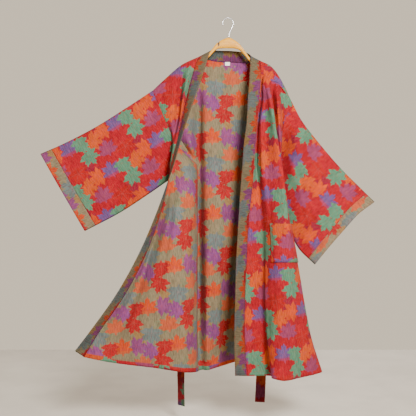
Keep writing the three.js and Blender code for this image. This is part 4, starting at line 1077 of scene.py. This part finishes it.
# %% Press the creases in
NEAR_SEAM = 6  # rows or columns over which a crease dies out at a seam
NEAR_FOLD = 0.12  # the same along the lower edge of a sleeve, as a share of its round


def soft_step(value, start, end):
    share = np.clip((value - start) / (end - start), 0, 1)
    return share * share * (3 - 2 * share)


def creased(grid, flat, outward, columns, rows, creases, closed=False):
    height = np.zeros(grid.shape[:2])
    for start, end, width, rise, bend in creases:
        ends = []
        for column, row in (start, end):
            near, low = np.argmin(np.abs(columns - column)), np.argmin(np.abs(rows - row))
            ends.append(flat[low, near] / MM)
        way = ends[1] - ends[0]
        length = np.linalg.norm(way)
        way /= length
        offset = flat / MM - ends[0]
        share = np.clip(offset @ way / length, 0, 1)
        off = offset @ np.array([-way[1], way[0]]) + bend * np.sin(np.pi * share)
        height += rise * np.exp(-(off / width) ** 2) * np.sin(np.pi * share) ** 0.8
    row_share = np.arange(len(rows))[:, None]
    height *= soft_step(row_share, 0, NEAR_SEAM)
    if closed:
        height *= soft_step(len(rows) - 1 - row_share, 0, NEAR_SEAM)
        height *= soft_step(1 - np.abs(columns), 0, NEAR_FOLD)
    else:
        column_share = np.arange(len(columns))
        to_seam = np.minimum(column_share, len(columns) - 1 - column_share)
        height *= soft_step(to_seam, 0, NEAR_SEAM)[None]
    return grid + grid_normals(grid, closed) * outward * height[..., None]


left_front_grid = creased(left_front_grid, left_front_flat, 1, left_columns, ROWS, LEFT_CREASES)
right_front_grid = creased(right_front_grid, right_front_flat, -1, right_columns, ROWS, RIGHT_CREASES)
back_grid = creased(back_grid, back_flat, 1, back_columns, ROWS, BACK_CREASES)
print("creases on the panels:", len(LEFT_CREASES) + len(RIGHT_CREASES) + len(BACK_CREASES))

# %% [markdown]
# ## The panels
# The back and both fronts are the large pieces. Each takes its creased grid and its flat cut, and
# the last 18 mm above the hem are turned up, so there the red side faces inwards.

# %% Panels
HEM_WIDTH = 18
PIECES = {}
PIECES["left_front"] = shell(
    "cloth_left_front", left_front_grid, left_front_flat, 1, [red_side, green_side], hem=HEM_WIDTH)
PIECES["right_front"] = shell(
    "cloth_right_front", right_front_grid, right_front_flat, -1, [red_side, green_side], hem=HEM_WIDTH)
PIECES["back"] = shell(
    "cloth_back", back_grid, back_flat, 1, [red_side, green_side], hem=HEM_WIDTH)
print("faces in the back:", len(PIECES["back"].data.polygons))

# %% [markdown]
# ## Sleeves and cuffs
# A sleeve is a straight tube that was sewn from one rectangle. Its pattern runs round the arm, so
# the leaves lie on their sides. The cuff is a strip that shows the other side of the cloth.

# %% Sleeves and cuffs
def sheet_plan(grid):
    """The flat plan of an even strip, from its two middle lines."""
    return np.stack(np.meshgrid(along(grid[len(grid) // 2]), along(grid[:, len(grid[0]) // 2])),
                    axis=-1) * MM


def lay_sleeve(grid, leaf_at, towards_cuff):
    flat = flatten(grid, len(FALLS) // 2)
    flat = np.stack([flat[..., 1] * towards_cuff, flat[..., 0]], axis=-1)
    front = slice(len(FALLS) // 2, None)
    away = np.linalg.norm(on_picture(grid[:, front]) - np.array(leaf_at), axis=-1)
    row, column = np.unravel_index(np.argmin(away), away.shape)
    return (flat - flat[row, column + front.start]) * MM


CUFF_AT = {"left": (-175, 92), "right": (-128, 62)}  # the place in the repeat at a cuff's top
sleeve_flats = {}
for side, outward, body, cuff, leaf_at in (
        ("left", -1, left_sleeve_grid, left_cuff_grid, PURPLE_SEEN["left_sleeve"]),
        ("right", 1, right_sleeve_grid, right_cuff_grid, PURPLE_SEEN["right_sleeve"])):
    sleeve_flats[side] = lay_sleeve(body, leaf_at, outward)
    creases = {"left": LEFT_SLEEVE_CREASES, "right": RIGHT_SLEEVE_CREASES}[side]
    shares = np.linspace(0, 1, SLEEVE_STEPS)
    body[:] = creased(body, sleeve_flats[side], outward, FALLS, shares, creases, closed=True)
    PIECES[side + "_sleeve"] = shell(
        "cloth_" + side + "_sleeve", body, sleeve_flats[side], outward, [red_side, green_side],
        closed=True)
    plan = sheet_plan(cuff)
    plan = plan - plan[0, len(FALLS) // 2] + np.array(CUFF_AT[side]) * MM
    PIECES[side + "_cuff"] = shell(
        "cloth_" + side + "_cuff", cuff, plan, outward, [green_side, red_side], closed=True)
print("rings in a sleeve:", SLEEVE_STEPS, "and in a cuff:", CUFF_STEPS)

# %% [markdown]
# ## The neckband
# A long strip folded double, with the grey-green side out on both faces. It was cut across the
# cloth, so the leaves of one row follow each other down it. Two strips meet at the back of the neck.

# %% Neckband
BAND_LEAF = {"left": (61.5, 0), "right": (62, 45)}  # the pixel down where a leaf lies, and its place
for side, grid, line in (("left", left_band_grid, left_band_seam),
                         ("right", right_band_grid, right_band_seam)):
    down = on_picture(line(ROWS))[:, 1]
    below = along(line(ROWS)) - np.interp(BAND_LEAF[side][0], down, along(line(ROWS)))
    run = along(grid[:, 0])
    run = run - run[-1] if side == "right" else -run
    run = BAND_LEAF[side][1] - (run + below[-1])
    width = np.linspace(-0.5, 0.5, grid.shape[1]) * BAND_WIDTH - 28
    plan = np.stack(np.meshgrid(width, run), axis=-1)[..., ::-1] * MM
    PIECES[side + "_neckband"] = shell(
        "cloth_" + side + "_neckband", grid, plan, -1, [band_cloth, band_cloth])
    print(side, "neckband:", round(run[0] - run[-1]), "mm of cloth")

# %% [markdown]
# ## Pockets
# A patch pocket follows the front that it is sewn on, so it takes its window of that front's grid
# and stands off it. Its own leaves don't line up with those behind it, as on most sewn robes.

# %% Pockets
POCKETS = {
    "right_pocket": (right_front_grid, right_front_flat, -1, (8, 9), (2.5, 6)),
    "left_pocket": (left_front_grid, left_front_flat, 1, (8, 9), (3, 5.5))}
SEAM_GAP = 0.4
POCKET_LEAF = np.array([62, -7])  # the place in the repeat at the pocket's upper inner corner
pocket_windows = {}
for name, (grid, flat, outward, rows, columns) in POCKETS.items():
    first, last = (int(np.argmin(np.abs(ROWS - row))) for row in rows)
    near, far = (int(round(column / FOLD_STEP)) for column in columns)
    window = (slice(first, last + 1), slice(near, far + 1))
    normals = (grid_normals(grid) * outward)[window]
    pocket_windows[name] = (grid[window], normals)
    plan = flat[window] - flat[window][0, 0] + POCKET_LEAF * MM
    PIECES[name] = shell(
        "cloth_" + name, grid[window], plan, outward, [red_side, green_side],
        out=WALL / 2 + SEAM_GAP + WALL, into=WALL / 2 + SEAM_GAP, normals=normals)
print("grid points in a pocket:", pocket_windows["right_pocket"][0].shape[:2])

# %% [markdown]
# ## The belt
# One long strip, sewn double. It runs through both loops behind the robe and its ends hang below
# the hem. A strip like this needs a middle line and, at each of its points, the way its width
# faces: turned about the strip, and swung about the upright.

# %% Belt
BELT_WIDTH, BELT_THICKNESS = 39, 3
BELT_RUN = [
    ([181.3, 405.5, 84], 0, 45), ([181, 388, 84], 0, 48), ([181, 368, 82], 0, 42),
    ([184, 330, 80], 3, 25), ([188.5, 280, 78], 4, 10), ([190, 235, 75], 4, 0),
    ([188, 210, 73], 3, 0), ([188, 198.5, 71], 28, 0), ([191, 192.2, 70], 66, 0),
    ([197, 190.7, 70], 88, 0), ([232, 193.8, 70], 92, 0), ([252, 198, 71], 94, 0),
    ([262, 200.4, 73.5], 95, 0), ([271, 202, 74.5], 94, 0), ([279, 204.4, 75.5], 108, 0),
    ([283.2, 212.5, 77], 150, 0), ([281.6, 224, 81], 178, 0), ([279, 238, 88], 187, 0),
    ([272, 262, 101], 186, 0), ([268, 298, 120], 186, 0), ([264.2, 334, 143], 184, 0),
    ([261.6, 362, 173], 182, 0), ([260.9, 380, 182], 180, 0), ([259.8, 402, 186], 180, 0)]


def strip_frame(middle, turn, yaw, places):
    turns, yaws = (np.radians(np.interp(places, range(len(angles)), angles)) for angles in (turn, yaw))
    ahead = middle(places + 0.05) - middle(places - 0.05)
    ahead /= np.linalg.norm(ahead, axis=1, keepdims=True)
    width = np.stack([np.cos(turns) * np.cos(yaws), -np.cos(turns) * np.sin(yaws), -np.sin(turns)], -1)
    width -= (width * ahead).sum(1, keepdims=True) * ahead
    width /= np.linalg.norm(width, axis=1, keepdims=True)
    return width, np.cross(width, ahead)


belt_middle = line_through([seen(row[0]) for row in BELT_RUN])
belt_places = np.linspace(0, len(BELT_RUN) - 1, 230)
belt_width, belt_normal = strip_frame(
    belt_middle, [row[1] for row in BELT_RUN], [row[2] for row in BELT_RUN], belt_places)
belt_across = np.sin(np.linspace(-np.pi / 2, np.pi / 2, 17)) / 2
belt_grid = (belt_middle(belt_places)[:, None]
             + belt_width[:, None] * belt_across[None, :, None] * BELT_WIDTH)
belt_normals = np.repeat(belt_normal[:, None], len(belt_across), axis=1)
# An even thickness that is rounded off at both edges.
belt_half = BELT_THICKNESS / 2 * np.sqrt(1 - 0.9 * (2 * np.abs(belt_across)) ** 10)
PIECES["belt"] = shell(
    "cloth_belt", belt_grid, sheet_plan(belt_grid), 1, [belt_cloth, belt_cloth],
    out=belt_half, into=-belt_half, normals=belt_normals)
print("belt from end to end:", round(along(belt_middle(belt_places))[-1]), "mm")

# %% [markdown]
# ## Belt loops
# A narrow sewn strap stands out from each side seam and goes round the belt. Its seven points give
# the foot, the two bends and the far side, and one curve joins them.

# %% Loops
LOOP_WIDTH, LOOP_THICKNESS, LOOP_REACH = 5, 2, 37
LOOPS = {"left_belt_loop": (left_side, (7, 7.5), (-3.7, 2), (-0.22, 1)),
         "right_belt_loop": (right_side, (6.5, 7.5), (2.8, 2.8), (0.35, 1))}
for name, (seam, rows, foot, out) in LOOPS.items():
    way = np.array([*out, 0]) / np.hypot(*out)
    top, bottom = (seam(row - UNDERARM)[0] + [*foot, 0] for row in rows)
    width = np.cross(way, top - bottom)
    width /= np.linalg.norm(width)
    shape = [(0, 0), (4, 0), (LOOP_REACH, 0.08), (LOOP_REACH + 1, 0.5), (LOOP_REACH, 0.92), (4, 1), (0, 1)]
    middle = line_through([top * (1 - fall) + bottom * fall + way * reach for reach, fall in shape])
    places = np.linspace(0, len(shape) - 1, 61)
    run = middle(places)
    ahead = np.gradient(run, axis=0)
    ahead /= np.linalg.norm(ahead, axis=1, keepdims=True)
    loop_across = np.linspace(-0.5, 0.5, 5)
    grid = run[:, None] + width * loop_across[None, :, None] * LOOP_WIDTH
    normals = np.repeat(np.cross(width, ahead)[:, None], len(loop_across), axis=1)
    PIECES[name] = shell(
        "cloth_" + name, grid, sheet_plan(grid), 1, [red_side, red_side],
        out=LOOP_THICKNESS / 2, into=-LOOP_THICKNESS / 2, normals=normals)
    print(name, "is", round(along(run)[-1]), "mm long")

# %% [markdown]
# ## The label
# A small bare tab of woven tape below the neckband.

# %% Label
LABEL_SIZE = (18, 1, 13)
LABEL_AT = seen((227.5, 63.9, 44 - WALL / 2 - 1.2))


def box(name, middle, size, material):
    corners = np.array([[x, y, z] for x in (-0.5, 0.5) for y in (-0.5, 0.5) for z in (-0.5, 0.5)])
    faces = [(0, 1, 3, 2), (4, 6, 7, 5), (0, 4, 5, 1), (2, 3, 7, 6), (0, 2, 6, 4), (1, 5, 7, 3)]
    return mesh_object(name, middle + corners * size, faces, None, [material], smooth=False)


PIECES["label"] = box("label_tab", LABEL_AT, np.array(LABEL_SIZE), tape)
print("label, in millimetres:", LABEL_SIZE)

# %% [markdown]
# ## The hanger
# The hanger is one piece of shaped wood: a hump under the hook and two arms that slope away. Rings
# between its upper and its lower line, rounder than a box and squarer than an ellipse, give the
# hand-worn form, and the strap notch is a small dip in the upper line.

# %% Hanger
WOOD = [
    (183, 66.9, 69.7, 7), (186, 65, 68.9, 10), (195, 60.9, 64.4, 11), (203, 57.3, 61.2, 11),
    (208, 54, 58.2, 11), (212.5, 48.8, 53.6, 12), (217, 43.2, 49.2, 12), (222, 40, 48.4, 13),
    (228.9, 37.7, 48.3, 13), (235, 40.6, 48.6, 13), (239.5, 44.2, 50.2, 12), (245, 51.3, 56.2, 12),
    (250, 57.9, 62.1, 11), (256, 62.4, 66.3, 11), (264, 66.7, 70.2, 11), (271, 70.4, 74.3, 10),
    (274, 72.9, 75.7, 7)]
WOOD_SQUARENESS = 0.75
NOTCH_AT, NOTCH_DEPTH, NOTCH_WIDTH = 6.35, 1.6, 0.16  # the strap notch on the left of the hump


def tube(name, rings, material):
    """A closed tube through rings of points, with a flat face at either end."""
    count, sides = rings.shape[:2]
    at = np.arange(count * sides).reshape(count, sides)
    ahead = np.roll(at, -1, axis=1)
    faces = np.stack([at[:-1], ahead[:-1], ahead[1:], at[1:]], axis=-1).reshape(-1, 4).tolist()
    faces += [at[0, ::-1].tolist(), at[-1].tolist()]
    return mesh_object(name, rings.reshape(-1, 3), faces, None, [material])


wood_top = line_through([seen((row[0], row[1], 0)) for row in WOOD])
wood_bottom = line_through([seen((row[0], row[2], 0)) for row in WOOD])
wood_places = np.linspace(0, len(WOOD) - 1, 160)
wood_depth = np.interp(wood_places, range(len(WOOD)), [row[3] for row in WOOD])
angles = np.linspace(0, 2 * np.pi, 28, endpoint=False)
high, low = wood_top(wood_places), wood_bottom(wood_places)
rounded = [np.sign(wave) * np.abs(wave) ** WOOD_SQUARENESS for wave in (np.cos(angles), np.sin(angles))]
high[:, 2] -= NOTCH_DEPTH * np.exp(-((wood_places - NOTCH_AT) / NOTCH_WIDTH) ** 2)
wood_rings = np.repeat(((high + low) / 2)[:, None], len(angles), axis=1)
wood_rings[..., 1] += rounded[0] * wood_depth[:, None] / 2
wood_rings[..., 2] += rounded[1] * np.linalg.norm(high - low, axis=1)[:, None] / 2
PIECES["hanger_wood"] = tube("shaped_wood", wood_rings, wood)
print("hanger from tip to tip:", round(float(np.ptp(wood_rings[..., 0]))), "mm")

# %% [markdown]
# ## The hook
# A bent wire: a short straight neck out of the wood and three quarters of a turn.

# %% Hook
HOOK_RADIUS, HOOK_WIRE = 20, 3.5
BEND_FROM, BEND_TO, BEND_STEP = -35, 200, 23.5  # degrees, from the right and over the top
hook_points = [seen((228.9, 37.5, 0)), seen((229.1, 34.5, 0))]
for degrees in np.arange(BEND_FROM, BEND_TO + 0.1, BEND_STEP):
    angle = math.radians(degrees)
    hook_points.append(np.array([HOOK_RADIUS * math.cos(angle), 0,
                                 HOOK_WIRE / 2 - HOOK_RADIUS + HOOK_RADIUS * math.sin(angle)]))
hook_line = even_line_through(hook_points)
hook_shares = np.linspace(0, 1, 110)
ahead = hook_line(hook_shares + 0.004) - hook_line(hook_shares - 0.004)
ahead /= np.linalg.norm(ahead, axis=1, keepdims=True)
side = np.array([0, 1, 0])
up = np.cross(ahead, side)
wire_angles = np.linspace(0, 2 * np.pi, 16, endpoint=False)
hook_rings = (hook_line(hook_shares)[:, None]
              + side * np.cos(wire_angles)[None, :, None] * HOOK_WIRE / 2
              + up[:, None] * np.sin(wire_angles)[None, :, None] * HOOK_WIRE / 2)
PIECES["hook"] = tube("bent_wire", hook_rings, wire)
print("pieces made:", len(PIECES))

# %% [markdown]
# ## Sewing
# The hems are turned up twice, 18 mm wide, so the red side shows on the inside there. Every hem,
# band, cuff and pocket is top-stitched. A stitch is a short thread that lies on the cloth and dips
# in at both ends, so each one here is a tiny low bar, and a row of them follows an edge at a set
# distance. The rows of a piece are one mesh.

# %% Stitches
STITCH, STITCH_STEP, THREAD_WIDTH = 2.4, 3.6, 0.5
SUNK, RAISED = 0.15, 0.3  # how far a stitch's ends lie in the cloth, and its middle stands out
OFF_CLOTH = 0.05
TOP_LONG, TOP_WIDE = 0.3, 0.7  # half the length and half the width of a stitch's top, as shares
stitch_rows = []


def inset(grid, normals, edge, distance):
    """The line at a distance from the first or last row or column of a grid, and its normals."""
    if edge in ("first row", "last row"):
        grid, normals = grid.transpose(1, 0, 2), normals.transpose(1, 0, 2)
    if edge in ("last row", "last column"):
        grid, normals = grid[:, ::-1], normals[:, ::-1]
    points, ways = [], []
    for line, normal in zip(grid, normals):
        run = along(line)
        points.append([np.interp(distance, run, line[:, axis]) for axis in range(3)])
        ways.append([np.interp(distance, run, normal[:, axis]) for axis in range(3)])
    return np.array(points), np.array(ways)


def stitch(line, normals, lift):
    run = along(line)
    starts = np.arange(1.0, run[-1] - STITCH, STITCH_STEP)
    ends = starts + STITCH

    def at(places, table):
        return np.stack([np.interp(places, run, table[:, axis]) for axis in range(3)], axis=-1)

    up = at((starts + ends) / 2, normals)
    up /= np.linalg.norm(up, axis=1, keepdims=True)
    ahead = at(ends, line) - at(starts, line)
    side = np.cross(up, ahead)
    side *= THREAD_WIDTH / 2 / np.linalg.norm(side, axis=1, keepdims=True)
    sign = np.sign(lift)
    middle = at((starts + ends) / 2, line)
    base = up * (lift - sign * SUNK)
    top = up * (lift + sign * RAISED)
    corners = [at(starts, line) - side + base, at(starts, line) + side + base,
               at(ends, line) + side + base, at(ends, line) - side + base]
    for along_it, across_it in ((-1, -1), (-1, 1), (1, 1), (1, -1)):
        corners.append(middle + ahead * TOP_LONG * along_it + side * TOP_WIDE * across_it + top)
    stitch_rows.append(np.stack(corners, axis=1))


def sew(name, material):
    points = np.concatenate(stitch_rows).reshape(-1, 3)
    stitch_rows.clear()
    sides = np.array([(4, 5, 6, 7), (0, 1, 5, 4), (1, 2, 6, 5), (2, 3, 7, 6), (3, 0, 4, 7), (3, 2, 1, 0)])
    faces = (np.arange(0, len(points), 8)[:, None, None] + sides[None]).reshape(-1, 4)
    return mesh_object(name, points, faces, None, [material], smooth=False)


print("stitches to a decimetre:", round(100 / STITCH_STEP))

# %% Sew every piece
ON_CLOTH = THIN + OFF_CLOTH
SEWN = {}
for name, grid, outward in (("left_front", left_front_grid, 1), ("right_front", right_front_grid, -1),
                            ("back", back_grid, 1)):
    normals = grid_normals(grid) * outward
    for lift in (ON_CLOTH, -ON_CLOTH - FOLDED):
        stitch(*inset(grid, normals, "last row", HEM_WIDTH - 2), lift)
    if name != "back":
        stitch(*inset(grid, normals, "first column", 2.5), ON_CLOTH)
    SEWN[name] = sew("stitches_" + name, thread)
for side, outward, body, cuff in (("left", -1, left_sleeve_grid, left_cuff_grid),
                                  ("right", 1, right_sleeve_grid, right_cuff_grid)):
    normals = grid_normals(cuff, True) * outward
    for edge, distance in (("first row", 2), ("first row", 7), ("last row", 3), ("last row", 8)):
        stitch(*inset(cuff, normals, edge, distance), ON_CLOTH)
    normals = grid_normals(body, True) * outward
    stitch(*inset(body, normals, "last row", 2), ON_CLOTH)
    stitch(*inset(body, normals, "first row", 3), ON_CLOTH)
    SEWN[side + "_sleeve"] = sew("stitches_" + side + "_sleeve", thread)
for side, grid in (("left", left_band_grid), ("right", right_band_grid)):
    normals = -grid_normals(grid)
    for edge, distance in (("first column", 3), ("last column", 2), ("last column", 6)):
        stitch(*inset(grid, normals, edge, distance), ON_CLOTH)
    end = "first row" if side == "left" else "last row"
    stitch(*inset(grid, normals, end, 3), ON_CLOTH)
    SEWN[side + "_neckband"] = sew("stitches_" + side + "_neckband", thread)
for name, (window, normals) in pocket_windows.items():
    top = WALL / 2 + SEAM_GAP + WALL + OFF_CLOTH
    stitch(*inset(window, normals, "first row", 26), top)
    for distance in (2.5, 7):
        for edge in ("first column", "last column", "last row"):
            stitch(*inset(window, normals, edge, distance), top)
    for edge in ("first column", "last column"):
        line, ways = inset(window, normals, edge, 4.5)
        stitch(line[:3] + ways[:3] * 0.1, ways[:3], top)
        stitch(line, ways, -ON_CLOTH)
    SEWN[name] = sew("stitches_" + name, thread)
for edge, distance in (("first column", 2), ("last column", 2)):
    for lift in (BELT_THICKNESS / 2 + OFF_CLOTH, -BELT_THICKNESS / 2 - OFF_CLOTH):
        stitch(*inset(belt_grid, belt_normals, edge, distance), lift)
SEWN["belt"] = sew("stitches_belt", thread)
for piece in SEWN.values():
    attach(piece, "root")
print("rows of stitches on:", ", ".join(SEWN))

# %% [markdown]
# ## What each piece was cut from
# A sheet of cloth keeps its size however it hangs. The flat size of every cloth piece, as the
# flattening gave it, is printed.

# %% Flat sizes
for name, flat in (("left_front", left_front_flat), ("right_front", right_front_flat),
                   ("back", back_flat)):
    size = cut_size(flat)
    print(name, size, round(cut_area(flat), 3))
for side in ("left", "right"):
    flat = sleeve_flats[side]
    size = cut_size(flat)
    print(side, "sleeve", size, round(cut_area(flat), 3))
    cuff = {"left": left_cuff_grid, "right": right_cuff_grid}[side]
    window, _ = pocket_windows[side + "_pocket"]
    size = (float(along(window[len(window) // 2])[-1]) * MM, float(along(window[:, 9])[-1]) * MM)
    print(side, "pocket", [round(part, 3) for part in size])
float(along(belt_middle(belt_places))[-1]) * MM

# %% [markdown]
# ## Hand over
# Every piece belongs to the one body of the robe and takes the place of its CAD solid. The floor is
# only a stage.

# %% Hand over
for node, piece in PIECES.items():
    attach(piece, "root")
    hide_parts(node)

FLOOR_X, FLOOR_Y, FLOOR_Z = (-2200, 2000), (-1900, 1460), -1520
corners = [(FLOOR_X[0], FLOOR_Y[0], FLOOR_Z), (FLOOR_X[1], FLOOR_Y[0], FLOOR_Z),
           (FLOOR_X[1], FLOOR_Y[1], FLOOR_Z), (FLOOR_X[0], FLOOR_Y[1], FLOOR_Z)]
mesh_object("floor", corners, [(0, 1, 2, 3)], None, [floor_paint], smooth=False)
print("pieces handed over:", len(PIECES) + len(SEWN))
